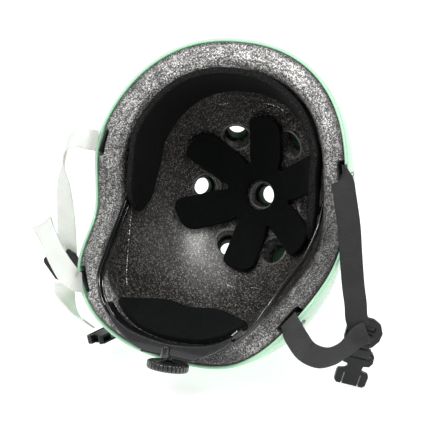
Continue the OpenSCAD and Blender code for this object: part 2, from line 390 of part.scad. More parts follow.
// loop of webbing that carries the tongue under the slider
module buckle_tab() color(web_black) translate(bm_pos) rotate([0, 15, 25]) translate([0, 0, 5]) difference() {
  cube([web_w - 0.6, 6, 7], center = true);
  translate([0, 0, 0.2]) cube([web_w + 2, 3.4, 4.2], center = true);
}
bf_pos = [-82, -28.5, -127];
module buckle_female() color(blk) translate(bf_pos) rotate([0, 0, -15]) rotate([0, 22, 0]) rotate([0, 90, 0]) rotate([0, 0, 90]) rotate([-38, 0, 0]) rotate([0, 0, 0]) rotate([0, 180, 0]) {
  difference() {
    rotate([90, 0, 0]) translate([0, 0, -3.6]) linear_extrude(height = 7.2) polygon([[-10, 9], [10, 9], [11.5, 7], [11.5, -8], [9.5, -11], [-9.5, -11], [-11.5, -8], [-11.5, 7]]);
    rotate([90, 0, 0]) translate([0, 0, -2.1]) linear_extrude(height = 4.2) polygon([[-9.7, 4], [9.7, 4], [9.7, -14], [-9.7, -14]]);
    for (s = [-1, 1]) translate([s*12, 0, -2]) cube([8, 10, 9], center = true);
    translate([0, 0, 6.5]) cube([web_w - 1, 12, 2.6], center = true);
  }
}

outer_shell();
eps_liner();
crown_pad();
front_pad();
pad_fasteners();
shell_rivets();
rivet_washers();
webbing_anchors();
temple_sockets();
temple_pins();
ring_arm_left();
ring_arm_right();
rear_cradle();
cradle_yoke();
housing_cover();
cover_screws();
rear_pad();
cradle_clip();
rack_left();
rack_right();
dial_knob();
dial_pinion();
strap_front_right();
strap_rear_right();
slider_right();
slider_flap_right();
buckle_male();
buckle_tab();
strap_front_left();
strap_rear_left();
slider_left();
strap_chin_left();
buckle_female();
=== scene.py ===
import json
import math
import bpy
import bmesh
import numpy as np
from mathutils import Vector, Matrix

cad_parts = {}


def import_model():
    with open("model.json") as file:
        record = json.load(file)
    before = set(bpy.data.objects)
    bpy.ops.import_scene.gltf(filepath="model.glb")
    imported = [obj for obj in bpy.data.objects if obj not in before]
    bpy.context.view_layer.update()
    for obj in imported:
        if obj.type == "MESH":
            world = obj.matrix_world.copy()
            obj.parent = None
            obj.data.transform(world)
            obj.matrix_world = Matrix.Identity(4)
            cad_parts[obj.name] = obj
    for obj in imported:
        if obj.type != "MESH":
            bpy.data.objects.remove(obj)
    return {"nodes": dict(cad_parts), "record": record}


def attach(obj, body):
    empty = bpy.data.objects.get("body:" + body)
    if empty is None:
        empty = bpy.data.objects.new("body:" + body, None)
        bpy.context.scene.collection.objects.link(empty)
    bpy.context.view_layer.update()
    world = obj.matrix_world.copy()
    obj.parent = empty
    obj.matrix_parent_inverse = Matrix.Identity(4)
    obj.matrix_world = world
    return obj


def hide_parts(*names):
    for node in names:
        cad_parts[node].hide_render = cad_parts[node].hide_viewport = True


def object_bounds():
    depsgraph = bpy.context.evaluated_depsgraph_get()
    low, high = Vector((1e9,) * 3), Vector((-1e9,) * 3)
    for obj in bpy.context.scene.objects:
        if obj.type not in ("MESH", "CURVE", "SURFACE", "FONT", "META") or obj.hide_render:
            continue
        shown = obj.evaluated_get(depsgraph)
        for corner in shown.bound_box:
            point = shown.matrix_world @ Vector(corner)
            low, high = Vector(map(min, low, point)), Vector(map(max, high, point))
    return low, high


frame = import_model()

cad_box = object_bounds()
scene = bpy.context.scene

# ---------------------------------------------------------------- camera
cam_data = bpy.data.cameras.new("studio_camera")
cam_data.lens = 98.8
cam_data.sensor_width = 36.0
cam_data.shift_x = 0.0256
cam_data.shift_y = -0.0372
cam_data.dof.use_dof = False
cam = bpy.data.objects.new("studio_camera", cam_data)
scene.collection.objects.link(cam)
cam.location = (0.378, -0.818, 0.3245)
cam.rotation_euler = (Vector((0, 0, 0)) - cam.location).to_track_quat("-Z", "Y").to_euler()
scene.camera = cam
scene.view_settings.view_transform = "Standard"
scene.view_settings.look = "None"
scene.view_settings.exposure = 0.0

# ---------------------------------------------------------------- the helmet's own geometry
SX, SY, H = 117.5, 137.5, 159.0          # shell, outside
SHELL_T = 2.8
FX, FY, FH = 114.4, 134.4, 155.9         # foam, outside
CX, CY, CH = 94.4, 114.4, 134.0          # cavity
PN, PM = 2.22, 2.1
LEAN = math.radians(20)
VENTS = [(0, -8), (26, -57), (-26, -57), (49, -7), (-49, -7), (22, 40), (-22, 40)]


def world(p):
    """Helmet frame in millimetres to the row frame in metres."""
    p = np.asarray(p, float)
    x, y, z = p[..., 0], p[..., 1], p[..., 2]
    return np.stack([x, -math.sin(LEAN) * y + math.cos(LEAN) * z,
                     -math.cos(LEAN) * y - math.sin(LEAN) * z], -1) / 1000.0


def local(w):
    w = np.asarray(w, float) * 1000.0
    x, a, b = w[..., 0], w[..., 1], w[..., 2]
    return np.stack([x, -math.sin(LEAN) * a - math.cos(LEAN) * b,
                     math.cos(LEAN) * a - math.sin(LEAN) * b], -1)


def sgnpow(v, k):
    return np.sign(v) * np.abs(v) ** k


def bump(a, m, s):
    d = a - m
    d = d - 360 * np.floor((d + 180) / 360)
    return np.exp(-0.5 * (d / s) ** 2)


def rim_z(a):
    r = np.radians(a)
    return (31.9 * np.cos(r) - 2.8 * np.cos(2 * r) + 29 * (bump(a, 99, 11) + bump(a, -99, 11))
            + 40.7 * bump(a, 180, 23))


def plan(a, ax, ay):
    r = np.radians(a)
    return (ax * sgnpow(np.sin(r), 2 / PN) * (1 + 0.014 * np.cos(2 * r)),
            -ay * sgnpow(np.cos(r), 2 / PN))


def up_angle(z, h):
    return np.degrees(np.arcsin(sgnpow(np.clip(z / h, -0.9, 1), PM / 2)))


def dome_pt(a, th, ax, ay, h, k=1.0):
    qx, qy = plan(a, ax, ay)
    t = np.radians(th)
    c = np.maximum(0, np.cos(t)) ** (2 / PM)
    c = 1 + (c - 1) * k
    return np.stack(np.broadcast_arrays(qx * c, qy * c, h * sgnpow(np.sin(t), 2 / PM)), -1)


def wall_pt(a, z, ax, ay, h, k=1.0):
    return dome_pt(a, up_angle(z, h), ax, ay, h, k)


def level(p, ax, ay, h):
    """1 on the dome with these half sizes, less inside it."""
    x, y, z = p[..., 0], p[..., 1], p[..., 2]
    u, v = np.abs(x / ax) ** (PN / 2), np.abs(y / ay) ** (PN / 2)
    a = np.arctan2(u, np.maximum(v, 1e-9))
    x = x / (1 + 0.014 * np.cos(2 * a))
    return (np.abs(x / ax) ** PN + np.abs(y / ay) ** PN) ** (PM / PN) + np.sign(z) * np.abs(z / h) ** PM


def dome_at(x, y, ax, ay, h):
    q = abs(x / ax) ** PN + abs(y / ay) ** PN
    return h * max(0.001, 1 - q ** (PM / PN)) ** (1 / PM)


def vent_axis(v):
    x, y = v
    z = dome_at(x, y, CX, CY, CH)
    n = np.array([x / CX ** 2, y / CY ** 2, z / CH ** 2])
    return np.array([x, y, z]), n / np.linalg.norm(n)


def heading(p):
    u = sgnpow(p[..., 0] / (CX + 10), PN / 2)
    v = sgnpow(-p[..., 1] / (CY + 10), PN / 2)
    return np.degrees(np.arctan2(u, v))


def smooth01(x, a, b):
    t = np.clip((x - a) / (b - a), 0, 1)
    return t * t * (3 - 2 * t)


def catmull(pts, k):
    """Smooth an open route of vectors, k steps a span."""
    pts = [np.asarray(p, float) for p in pts]
    n = len(pts)
    out = []
    for i in range(n - 1):
        a, b, c, d = pts[max(0, i - 1)], pts[i], pts[i + 1], pts[min(n - 1, i + 2)]
        for j in range(k):
            t = j / k
            out.append(0.5 * (2 * b + (c - a) * t + (2 * a - 5 * b + 4 * c - d) * t * t
                              + (3 * b - a - 3 * c + d) * t ** 3))
    out.append(pts[-1])
    return np.array(out)


# ---------------------------------------------------------------- mesh helpers
def new_object(name, verts, faces, mats, face_mat=None, smooth=True, angle=50, tidy=True):
    """verts in metres, row frame."""
    me = bpy.data.meshes.new(name)
    me.from_pydata([tuple(map(float, v)) for v in verts], [], [tuple(int(i) for i in f) for f in faces])
    for m in mats:
        me.materials.append(m)
    if face_mat is not None:
        me.polygons.foreach_set("material_index", np.asarray(face_mat, dtype=np.int32))
    me.update()
    if tidy:
        bm = bmesh.new()
        bm.from_mesh(me)
        bmesh.ops.remove_doubles(bm, verts=bm.verts, dist=1e-7)
        bmesh.ops.recalc_face_normals(bm, faces=bm.faces)
        bm.to_mesh(me)
        bm.free()
    if smooth:
        me.polygons.foreach_set("use_smooth", [True] * len(me.polygons))
        me.set_sharp_from_angle(angle=math.radians(angle))
    ob = bpy.data.objects.new(name, me)
    scene.collection.objects.link(ob)
    return ob


def grid_faces(nr, nc, closed=True, closed_rows=False, base=0):
    f = []
    for i in range(nr if closed_rows else nr - 1):
        for j in range(nc if closed else nc - 1):
            a = i * nc + j
            b = i * nc + (j + 1) % nc
            c = ((i + 1) % nr) * nc + (j + 1) % nc
            d = ((i + 1) % nr) * nc + j
            f.append((base + a, base + b, base + c, base + d))
    return f


def apply_modifiers(ob):
    bpy.context.view_layer.update()
    dg = bpy.context.evaluated_depsgraph_get()
    me = bpy.data.meshes.new_from_object(ob.evaluated_get(dg), preserve_all_data_layers=True, depsgraph=dg)
    old = ob.data
    ob.modifiers.clear()
    ob.data = me
    bpy.data.meshes.remove(old)
    return ob


def cut(ob, parts):
    """Take these closed meshes, (verts, faces) in metres, out of ob."""
    verts, faces = [], []
    for v, f in parts:
        base = len(verts)
        verts += [tuple(map(float, p)) for p in v]
        faces += [tuple(i + base for i in q) for q in f]
    cutter = new_object("cutter", verts, faces, [], smooth=False)
    mod = ob.modifiers.new("cut", "BOOLEAN")
    mod.operation = "DIFFERENCE"
    mod.solver = "EXACT"
    mod.object = cutter
    apply_modifiers(ob)
    me = cutter.data
    bpy.data.objects.remove(cutter)
    bpy.data.meshes.remove(me)
    return ob


def basis(axis):
    n = np.asarray(axis, float)
    n = n / np.linalg.norm(n)
    h = np.array([1.0, 0, 0]) if abs(n[0]) < 0.8 else np.array([0, 1.0, 0])
    u = np.cross(n, h)
    u /= np.linalg.norm(u)
    return u, np.cross(n, u), n


def lathe(profile, n, origin, axis, wave=None):
    """profile: (radius, height) down an open line; a radius of 0 closes it. In the frame of origin and axis."""
    u, v, w = basis(axis)
    o = np.asarray(origin, float)
    verts, rows = [], []
    for (r, t) in profile:
        if r <= 1e-9:
            rows.append([len(verts)])
            verts.append(o + w * t)
        else:
            row = []
            for j in range(n):
                a = 2 * math.pi * j / n
                rr = r if wave is None else wave(r, t, a)
                row.append(len(verts))
                verts.append(o + (u * math.cos(a) + v * math.sin(a)) * rr + w * t)
            rows.append(row)
    faces = []
    for p, q in zip(rows[:-1], rows[1:]):
        if len(p) == 1 and len(q) == 1:
            continue
        for j in range(n):
            k = (j + 1) % n
            if len(p) == 1:
                faces.append((p[0], q[k], q[j]))
            elif len(q) == 1:
                faces.append((p[j], p[k], q[0]))
            else:
                faces.append((p[j], p[k], q[k], q[j]))
    return np.array(verts), faces


def torus_lathe(profile, n, origin, axis):
    """profile: a closed loop of (radius, height)."""
    u, v, w = basis(axis)
    o = np.asarray(origin, float)
    m = len(profile)
    verts = [o + (u * math.cos(2 * math.pi * j / n) + v * math.sin(2 * math.pi * j / n)) * r + w * t
             for (r, t) in profile for j in range(n)]
    return np.array(verts), grid_faces(m, n, True, True)


def prism(outline, lo, hi, place, rounding=0.6, seg=3):
    """A plate with rounded edges: outline (x, y) counter-clockwise, between two heights, placed by a function."""
    bm = bmesh.new()
    bot = [bm.verts.new((x, y, lo)) for x, y in outline]
    face = bm.faces.new(bot)
    r = bmesh.ops.extrude_face_region(bm, geom=[face])
    vs = [e for e in r["geom"] if isinstance(e, bmesh.types.BMVert)]
    bmesh.ops.translate(bm, vec=(0, 0, hi - lo), verts=vs)
    bmesh.ops.recalc_face_normals(bm, faces=bm.faces)
    if rounding > 0:
        edges = [e for e in bm.edges if len(e.link_faces) == 2 and
                 e.calc_face_angle(0) > math.radians(40)]
        bmesh.ops.bevel(bm, geom=edges, offset=rounding, offset_type="OFFSET", segments=seg, profile=0.5,
                        affect="EDGES", clamp_overlap=True)
    bm.verts.ensure_lookup_table()
    bm.verts.index_update()
    verts = np.array([place(np.array(v.co)) for v in bm.verts])
    faces = [tuple(v.index for v in f.verts) for f in bm.faces]
    bm.free()
    return verts, faces


def merged(parts):
    verts, faces, idx = [], [], []
    for i, (v, f) in enumerate(parts):
        base = len(verts)
        verts += [tuple(map(float, p)) for p in v]
        faces += [tuple(int(k) + base for k in q) for q in f]
        idx += [i] * len(f)
    return verts, faces, idx


def loop_smooth(pts, k):
    """Catmull-Rom round a closed outline."""
    pts = [np.asarray(p, float) for p in pts]
    n = len(pts)
    out = []
    for i in range(n):
        a, b, c, d = pts[i - 1], pts[i], pts[(i + 1) % n], pts[(i + 2) % n]
        for j in range(k):
            t = j / k
            out.append(0.5 * (2 * b + (c - a) * t + (2 * a - 5 * b + 4 * c - d) * t * t
                              + (3 * b - a - 3 * c + d) * t ** 3))
    return out


NODES = frame["nodes"]
BODY_OF = {n: b for b, ns in frame["record"]["behaviour"]["bodies"].items() for n in ns}


def stands_for(ob, *nodes, slot=None):
    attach(ob, BODY_OF[nodes[0]])
    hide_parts(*nodes)
    return ob


def recopy(node, name, mats, width=0.5, seg=3, angle=32, slot=None):
    """A copy of a CAD node with rounded edges."""
    src = NODES[node]
    bm = bmesh.new()
    bm.from_mesh(src.data)
    bmesh.ops.transform(bm, matrix=src.matrix_world, verts=bm.verts)
    bmesh.ops.remove_doubles(bm, verts=bm.verts, dist=2e-6)
    bmesh.ops.dissolve_limit(bm, angle_limit=math.radians(0.8), verts=bm.verts, edges=bm.edges)
    bmesh.ops.recalc_face_normals(bm, faces=bm.faces)
    me = bpy.data.meshes.new(name)
    bm.to_mesh(me)
    bm.free()
    me.materials.clear()
    for m in mats:
        me.materials.append(m)
    me.polygons.foreach_set("material_index", np.zeros(len(me.polygons), dtype=np.int32))
    ob = bpy.data.objects.new(name, me)
    scene.collection.objects.link(ob)
    if width > 0:
        mod = ob.modifiers.new("round", "BEVEL")
        mod.width = width / 1000.0
        mod.segments = seg
        mod.limit_method = "ANGLE"
        mod.angle_limit = math.radians(angle)
        mod.use_clamp_overlap = True
        mod.miter_outer = "MITER_ARC"
        apply_modifiers(ob)
    ob.data.polygons.foreach_set("use_smooth", [True] * len(ob.data.polygons))
    ob.data.set_sharp_from_angle(angle=math.radians(38))
    return stands_for(ob, node, slot=slot)


# ---------------------------------------------------------------- materials
class Mat:
    def __init__(self, name):
        self.m = bpy.data.materials.new(name)
        self.m.use_nodes = True
        self.t = self.m.node_tree
        self.b = self.t.nodes["Principled BSDF"]

    def n(self, kind, **kw):
        nd = self.t.nodes.new(kind)
        for k, v in kw.items():
            setattr(nd, k, v)
        return nd

    def link(self, a, b):
        self.t.links.new(a, b)

    def coords(self, kind="Object"):
        return self.n("ShaderNodeTexCoord").outputs[kind]

    def math(self, op, a, b=None, c=None, clamp=False):
        nd = self.n("ShaderNodeMath", operation=op, use_clamp=clamp)
        for i, v in enumerate((a, b, c)):
            if v is None:
                continue
            if isinstance(v, (int, float)):
                nd.inputs[i].default_value = v
            else:
                self.link(v, nd.inputs[i])
        return nd.outputs[0]

    def noise(self, vec, scale, detail=3.0, rough=0.5):
        nd = self.n("ShaderNodeTexNoise")
        nd.inputs["Scale"].default_value = scale
        nd.inputs["Detail"].default_value = detail
        nd.inputs["Roughness"].default_value = rough
        self.link(vec, nd.inputs["Vector"])
        return nd.outputs["Fac"]

    def voronoi(self, vec, scale, feature="F1", rand=1.0):
        nd = self.n("ShaderNodeTexVoronoi", feature=feature)
        nd.inputs["Scale"].default_value = scale
        nd.inputs["Randomness"].default_value = rand
        self.link(vec, nd.inputs["Vector"])
        return nd

    def ramp(self, fac, stops, interp="LINEAR"):
        nd = self.n("ShaderNodeValToRGB")
        cr = nd.color_ramp
        cr.interpolation = interp
        while len(cr.elements) < len(stops):
            cr.elements.new(0.5)
        for e, (p, c) in zip(cr.elements, stops):
            e.position = p
            e.color = (c if isinstance(c, tuple) else (c, c, c)) + (1,)
        self.link(fac, nd.inputs[0])
        return nd.outputs[0]

    def mix(self, fac, a, b, kind="MIX"):
        nd = self.n("ShaderNodeMix", data_type="RGBA", blend_type=kind)
        for s, v in ((nd.inputs[0], fac), (nd.inputs[6], a), (nd.inputs[7], b)):
            if isinstance(v, (int, float)):
                s.default_value = v
            elif isinstance(v, tuple):
                s.default_value = v + (1,)
            else:
                self.link(v, s)
        return nd.outputs[2]

    def bump(self, height, strength=0.3, distance=0.001, normal=None):
        nd = self.n("ShaderNodeBump")
        nd.inputs["Strength"].default_value = strength
        nd.inputs["Distance"].default_value = distance
        self.link(height, nd.inputs["Height"])
        if normal is not None:
            self.link(normal, nd.inputs["Normal"])
        self.last = nd.outputs["Normal"]
        self.link(self.last, self.b.inputs["Normal"])
        return self.last

    def set(self, **kw):
        names = {"rough": "Roughness", "metal": "Metallic", "ior": "IOR", "coat": "Coat Weight",
                 "coat_rough": "Coat Roughness", "sheen": "Sheen Weight", "sheen_rough": "Sheen Roughness",
                 "spec": "Specular IOR Level", "trans": "Transmission Weight", "sss": "Subsurface Weight",
                 "sss_scale": "Subsurface Scale"}
        for k, v in kw.items():
            s = self.b.inputs["Base Color"] if k == "color" else self.b.inputs[names[k]]
            if isinstance(v, (int, float)):
                s.default_value = v
            elif isinstance(v, tuple):
                s.default_value = v + (1,)
            else:
                self.link(v, s)
        return self


def mat_shell():
    m = Mat("shell_gloss_mint")
    c = m.coords()
    broad = m.noise(c, 14, 2)
    fine = m.noise(c, 900, 2)
    dust = m.noise(c, 240, 4, 0.6)
    m.set(color=m.mix(broad, (0.375, 0.655, 0.445), (0.40, 0.675, 0.47)),
          rough=m.ramp(dust, [(0.35, 0.13), (0.75, 0.20)]), coat=0.12, coat_rough=0.07, ior=1.45)
    n = m.bump(m.noise(c, 160, 1), 0.05, 0.0006)
    m.bump(fine, 0.02, 0.0002, n)
    return m.m


def mat_inner_shell():
    m = Mat("shell_inner_mint")
    c = m.coords()
    m.set(color=m.mix(m.noise(c, 60, 3), (0.36, 0.60, 0.44), (0.42, 0.68, 0.50)),
          rough=m.ramp(m.noise(c, 300, 3), [(0.3, 0.35), (0.8, 0.5)]))
    m.bump(m.noise(c, 700, 2), 0.1, 0.0003)
    return m.m


def mat_foam(name, dark, painted_lit_tone, scale=1050.0, rim=True):
    """Moulded beads: each cell has its own tone, with dark seams between them."""
    m = Mat(name)
    c = m.coords()
    wob = m.noise(c, 300, 2)
    vec = m.n("ShaderNodeVectorMath", operation="ADD")
    m.link(c, vec.inputs[0])
    sc = m.n("ShaderNodeVectorMath", operation="SCALE")
    m.link(m.voronoi(c, 260).outputs["Color"], sc.inputs[0])
    sc.inputs["Scale"].default_value = 0.0004
    m.link(sc.outputs[0], vec.inputs[1])
    v1 = m.voronoi(vec.outputs[0], scale)
    v2 = m.voronoi(vec.outputs[0], scale, "DISTANCE_TO_EDGE")
    v3 = m.voronoi(vec.outputs[0], scale * 2.3)
    sep = m.n("ShaderNodeSeparateColor")
    m.link(v1.outputs["Color"], sep.inputs[0])
    sep3 = m.n("ShaderNodeSeparateColor")
    m.link(v3.outputs["Color"], sep3.inputs[0])
    tone = m.math("ADD", m.math("MULTIPLY", sep.outputs[0], 0.7), m.math("MULTIPLY", sep3.outputs[1], 0.3))
    seam = m.ramp(v2.outputs["Distance"], [(0.0, 0.25), (0.09, 0.62), (0.2, 1.0)])
    mottle = m.ramp(m.noise(c, 55, 3, 0.6), [(0.25, 0.72), (0.75, 1.25)])
    # painted light: lo is the foam tone for the shaded cavity, hi a much paler copy of it for the lit rim
    lo = m.ramp(tone, [(0.15, tuple(x * 0.14 for x in dark)), (0.50, tuple(x * 0.40 for x in dark)),
                       (0.66, tuple(x * 1.5 for x in dark)), (0.86, tuple(x * 9.5 for x in dark))])
    hi = m.ramp(tone, [(0.12, tuple(x * 0.12 for x in painted_lit_tone)), (0.40, tuple(x * 0.55 for x in painted_lit_tone)),
                       (0.60, tuple(min(1, x * 1.35) for x in painted_lit_tone)), (0.85, tuple(min(1, x * 2.6) for x in painted_lit_tone))])
    if rim:
        at = m.n("ShaderNodeAttribute", attribute_name="rim")
        edge = m.n("ShaderNodeAttribute", attribute_name="edge")
        flow = m.n("ShaderNodeAttribute", attribute_name="flow")
        # painted light: the lit rim tone is scaled by the shade attribute along the heading, and streaked by flow-line
        # texture
        lines = m.ramp(m.noise(flow.outputs["Vector"], 2.6, 4, 0.62), [(0.34, 0.62), (0.5, 1.0), (0.66, 1.5)])
        shade = m.n("ShaderNodeAttribute", attribute_name="shade")
        hi = m.mix(1.0, hi, m.math("MULTIPLY", lines, shade.outputs["Fac"]), "MULTIPLY")
        # painted light: the rim attribute mixes from the shaded cavity tone to the paler lit tone on the rim
        col = m.mix(at.outputs["Fac"], lo, hi)
        # painted shade: the edge attribute darkens the rim's outer edge to about a third
        col = m.mix(edge.outputs["Fac"], col, m.mix(1.0, col, (0.35, 0.35, 0.35), "MULTIPLY"))
        # painted highlight: the rim is lightened in a noisy band across its inner half
        band_highlight_at = m.n("ShaderNodeAttribute", attribute_name="band")
        streak = m.n("ShaderNodeMapping")
        streak.inputs["Scale"].default_value = (1.0, 1.0, 1.0)
        m.link(c, streak.inputs["Vector"])
        soft = m.math("MULTIPLY", band_highlight_at.outputs["Fac"], m.ramp(m.noise(streak.outputs[0], 38, 3, 0.55), [(0.3, 0.35), (0.7, 1.0)]))
        col = m.mix(soft, col, m.mix(1.0, col, (1.6, 1.6, 1.61), "MULTIPLY"))
        # painted highlight: the cavity wall is lightened to a pale grey where the wall highlight attribute is set
        wall_highlight_at = m.n("ShaderNodeAttribute", attribute_name="painted_wall_highlight")
        pale = m.mix(1.0, m.mix(1.0, col, (3.4, 3.4, 3.45), "MULTIPLY"), (0.74, 0.74, 0.733), "ADD")
        col = m.mix(m.math("MULTIPLY", wall_highlight_at.outputs["Fac"], m.ramp(m.noise(c, 90, 3, 0.6), [(0.3, 0.7), (0.7, 1.0)])), col, pale)
    else:
        col = lo
    col = m.mix(1.0, col, seam, "MULTIPLY")
    col = m.mix(1.0, col, mottle, "MULTIPLY")
    m.set(color=col, rough=m.ramp(sep.outputs[1], [(0.2, 0.28), (0.9, 0.52)]), spec=0.5)
    dome = m.ramp(v1.outputs["Distance"], [(0.0, 1.0), (0.75, 0.0)])
    n = m.bump(dome, 0.5, 0.0007)
    m.bump(wob, 0.1, 0.0003, n)
    return m.m


def mat_cloth(name, base, sheen=0.25):
    """Brushed loop cloth: short nap with a faint vertical lie."""
    m = Mat(name)
    c = m.coords()
    mp = m.n("ShaderNodeMapping")
    mp.inputs["Scale"].default_value = (1.0, 1.0, 0.35)
    m.link(c, mp.inputs["Vector"])
    nap = m.noise(mp.outputs[0], 2600, 2, 0.6)
    lie = m.noise(mp.outputs[0], 380, 3, 0.6)
    broad = m.noise(c, 45, 2)
    f = m.math("ADD", m.math("MULTIPLY", nap, 0.55), m.math("ADD", m.math("MULTIPLY", lie, 0.3), m.math("MULTIPLY", broad, 0.15)))
    m.set(color=m.ramp(f, [(0.30, tuple(x * 0.45 for x in base)), (0.52, base), (0.72, tuple(x * 2.1 for x in base))]),
          rough=0.95, sheen=sheen, sheen_rough=0.45, spec=0.08)
    n = m.bump(nap, 0.5, 0.0004)
    m.bump(lie, 0.25, 0.0006, n)
    return m.m


def mat_pad_foam(name, base):
    m = Mat(name)
    c = m.coords()
    v = m.voronoi(c, 900)
    f = m.noise(c, 1400, 3, 0.7)
    pore = m.ramp(v.outputs["Distance"], [(0.15, 1.0), (0.5, 0.45), (0.8, 0.2)])
    m.set(color=m.mix(1.0, m.ramp(f, [(0.36, tuple(x * 0.25 for x in base)), (0.52, base), (0.68, tuple(x * 4.2 for x in base))]), pore, "MULTIPLY"),
          rough=0.9, spec=0.15)
    m.bump(v.outputs["Distance"], 0.5, 0.0006)
    return m.m


def mat_web(name, base, rib=0.5, pitch=1.15, rough=0.62, pale=False):
    """Woven tape: U runs along it in millimetres, V across it from 0 to 1."""
    m = Mat(name)
    uv = m.n("ShaderNodeSeparateXYZ")
    m.link(m.coords("UV"), uv.inputs[0])
    u, v = uv.outputs[0], uv.outputs[1]
    ribs = m.math("SINE", m.math("MULTIPLY", u, 2 * math.pi / pitch))
    cols = m.math("SINE", m.math("MULTIPLY", v, 2 * math.pi * 15))
    weave = m.math("MULTIPLY", m.math("SINE", m.math("MULTIPLY", u, math.pi / pitch)), cols)
    c = m.coords()
    fuzz = m.noise(c, 1800, 3, 0.7)
    broad = m.noise(c, 70, 2)
    h = m.math("ADD", m.math("MULTIPLY", ribs, 0.5), m.math("MULTIPLY", weave, 0.25))
    f = m.math("ADD", m.math("MULTIPLY", h, 0.30), m.math("ADD", m.math("MULTIPLY", fuzz, 0.45), m.math("MULTIPLY", broad, 0.35)))
    k = (0.80, 1.0, 1.12) if pale else (0.5, 1.0, 1.8)
    m.set(color=m.ramp(f, [(0.15, tuple(x * k[0] for x in base)), (0.42, tuple(x * k[1] for x in base)),
                           (0.75, tuple(min(1.0, x * k[2]) for x in base))]),
          rough=rough, spec=0.35)
    if pale:
        m.set(sss=0.25, sss_scale=0.004)
    n = m.bump(h, rib, 0.0005)
    m.bump(fuzz, 0.15, 0.0003, n)
    return m.m


def mat_plastic(name, base, rough=0.34, grain=0.12, tint=1.25, spec=0.5, coat=0.0):
    m = Mat(name)
    c = m.coords()
    f = m.noise(c, 160, 4, 0.6)
    g = m.noise(c, 1500, 2)
    m.set(color=m.mix(f, tuple(x * 0.8 for x in base), tuple(x * tint for x in base)),
          rough=m.ramp(f, [(0.3, rough * 0.85), (0.75, rough * 1.25)]), ior=1.5, spec=spec, coat=coat, coat_rough=0.12)
    n = m.bump(g, grain, 0.0002)
    m.bump(m.noise(c, 60, 2), 0.04, 0.0008, n)
    return m.m


def mat_metal(name, base, rough=0.2):
    m = Mat(name)
    c = m.coords()
    mp = m.n("ShaderNodeMapping")
    mp.inputs["Scale"].default_value = (1, 1, 18)
    m.link(c, mp.inputs["Vector"])
    f = m.noise(mp.outputs[0], 500, 3)
    m.set(color=m.mix(f, tuple(x * 0.85 for x in base), base), metal=1.0,
          rough=m.ramp(f, [(0.3, rough * 0.7), (0.8, rough * 1.5)]))
    m.bump(f, 0.05, 0.0002)
    return m.m


M_SHELL = mat_shell()
M_INNER = mat_inner_shell()
M_FOAM = mat_foam("bead_foam_charcoal", (0.036, 0.034, 0.031), (0.34, 0.335, 0.326))
M_CLOTH = mat_cloth("pad_cloth_black", (0.0056, 0.0064, 0.0060), 0.02)
M_CLOTH2 = mat_cloth("pad_cloth_flower", (0.0046, 0.0054, 0.0051), 0.03)
M_CLOTH3 = mat_cloth("pad_cloth_nape", (0.0050, 0.0056, 0.0055), 0.02)
M_EDGE = mat_pad_foam("pad_foam_edge", (0.0150, 0.0150, 0.0146))
M_HOOK = mat_cloth("hook_tape_black", (0.012, 0.012, 0.012), 0.0)
M_WEB = mat_web("webbing_black", (0.0185, 0.0190, 0.0188), 0.45)
M_WEBR = mat_web("webbing_ribbed", (0.040, 0.041, 0.040), 0.7)
M_WEBP = mat_web("webbing_pale", (0.69, 0.735, 0.695), 0.25, rough=0.55, pale=True)
M_BLK = mat_plastic("plastic_black_satin", (0.0055, 0.0058, 0.0060), 0.32, 0.05, spec=0.32)
M_HOUSE = mat_plastic("plastic_housing", (0.0075, 0.008, 0.009), 0.22, 0.02, spec=0.7, coat=0.35)
M_KNOB = mat_plastic("plastic_dial", (0.018, 0.0185, 0.018), 0.20, 0.03, spec=0.8, coat=0.5)
M_ARM = mat_plastic("plastic_ring_arm", (0.008, 0.0085, 0.009), 0.24, 0.04, spec=0.8, coat=0.4)
M_CLEAR = mat_plastic("plastic_grey", (0.10, 0.105, 0.11), 0.3)
M_STEEL = mat_metal("rivet_steel", (0.62, 0.64, 0.62), 0.26)
# painted shade: the vent sleeves are the mint plastic darkened to a very dark green, for the shade deep in the vents
M_SLEEVE_SHADED = mat_plastic("vent_sleeve_shaded_green", (0.008, 0.034, 0.013), 0.62, 0.10, spec=0.12)
# partly painted highlight: the lips are coloured a lighter grey than the cavity foam so they read as bright lines;
# their gloss comes from the low roughness and strong specular
M_LIP = mat_plastic("bead_foam_lip", (0.105, 0.105, 0.10), 0.26, 0.25, spec=0.75)
M_CHROME = mat_metal("clip_chrome", (0.90, 0.90, 0.92), 0.10)

# ---------------------------------------------------------------- outer shell
NA = 240
A = np.arange(NA) * 360.0 / NA


def dome_rows(z0, ax, ay, h, fs):
    t0 = up_angle(z0, h)
    return [dome_pt(A, t0 + (90 - t0) * f, ax, ay, h) for f in fs]


def surface_depth(o, n, ax, ay, h):
    lo, hi = 0.0, 80.0
    for _ in range(50):
        mid = (lo + hi) / 2
        if level(o + n * mid, ax, ay, h) < 1:
            lo = mid
        else:
            hi = mid
    return lo


RZ = rim_z(A)
fo = np.linspace(1, 0, 54)[1:]
rows = dome_rows(RZ + 1.3, SX, SY, H, fo)
for t in (20, 42, 66, 90, 114, 138, 160):
    o = 1.4 * math.cos(math.radians(t)) - 1.4
    rows.append(wall_pt(A, RZ + 1.3 - 1.5 * math.sin(math.radians(t)), SX + o, SY + o, H + o))
rows += dome_rows(RZ + 1.3, SX - SHELL_T, SY - SHELL_T, H - SHELL_T, np.linspace(0, 1, 40)[:-1])
nr = len(rows)
verts = np.concatenate(rows + [np.array([[0, 0, H], [0, 0, H - SHELL_T]])])
faces = grid_faces(nr, NA)
top, bot = nr * NA, nr * NA + 1
faces += [(top, (j + 1) % NA, j) for j in range(NA)]
faces += [(bot, (nr - 1) * NA + j, (nr - 1) * NA + (j + 1) % NA) for j in range(NA)]
shell = new_object("shell_mint", world(verts), faces, [M_SHELL, M_INNER], angle=60)

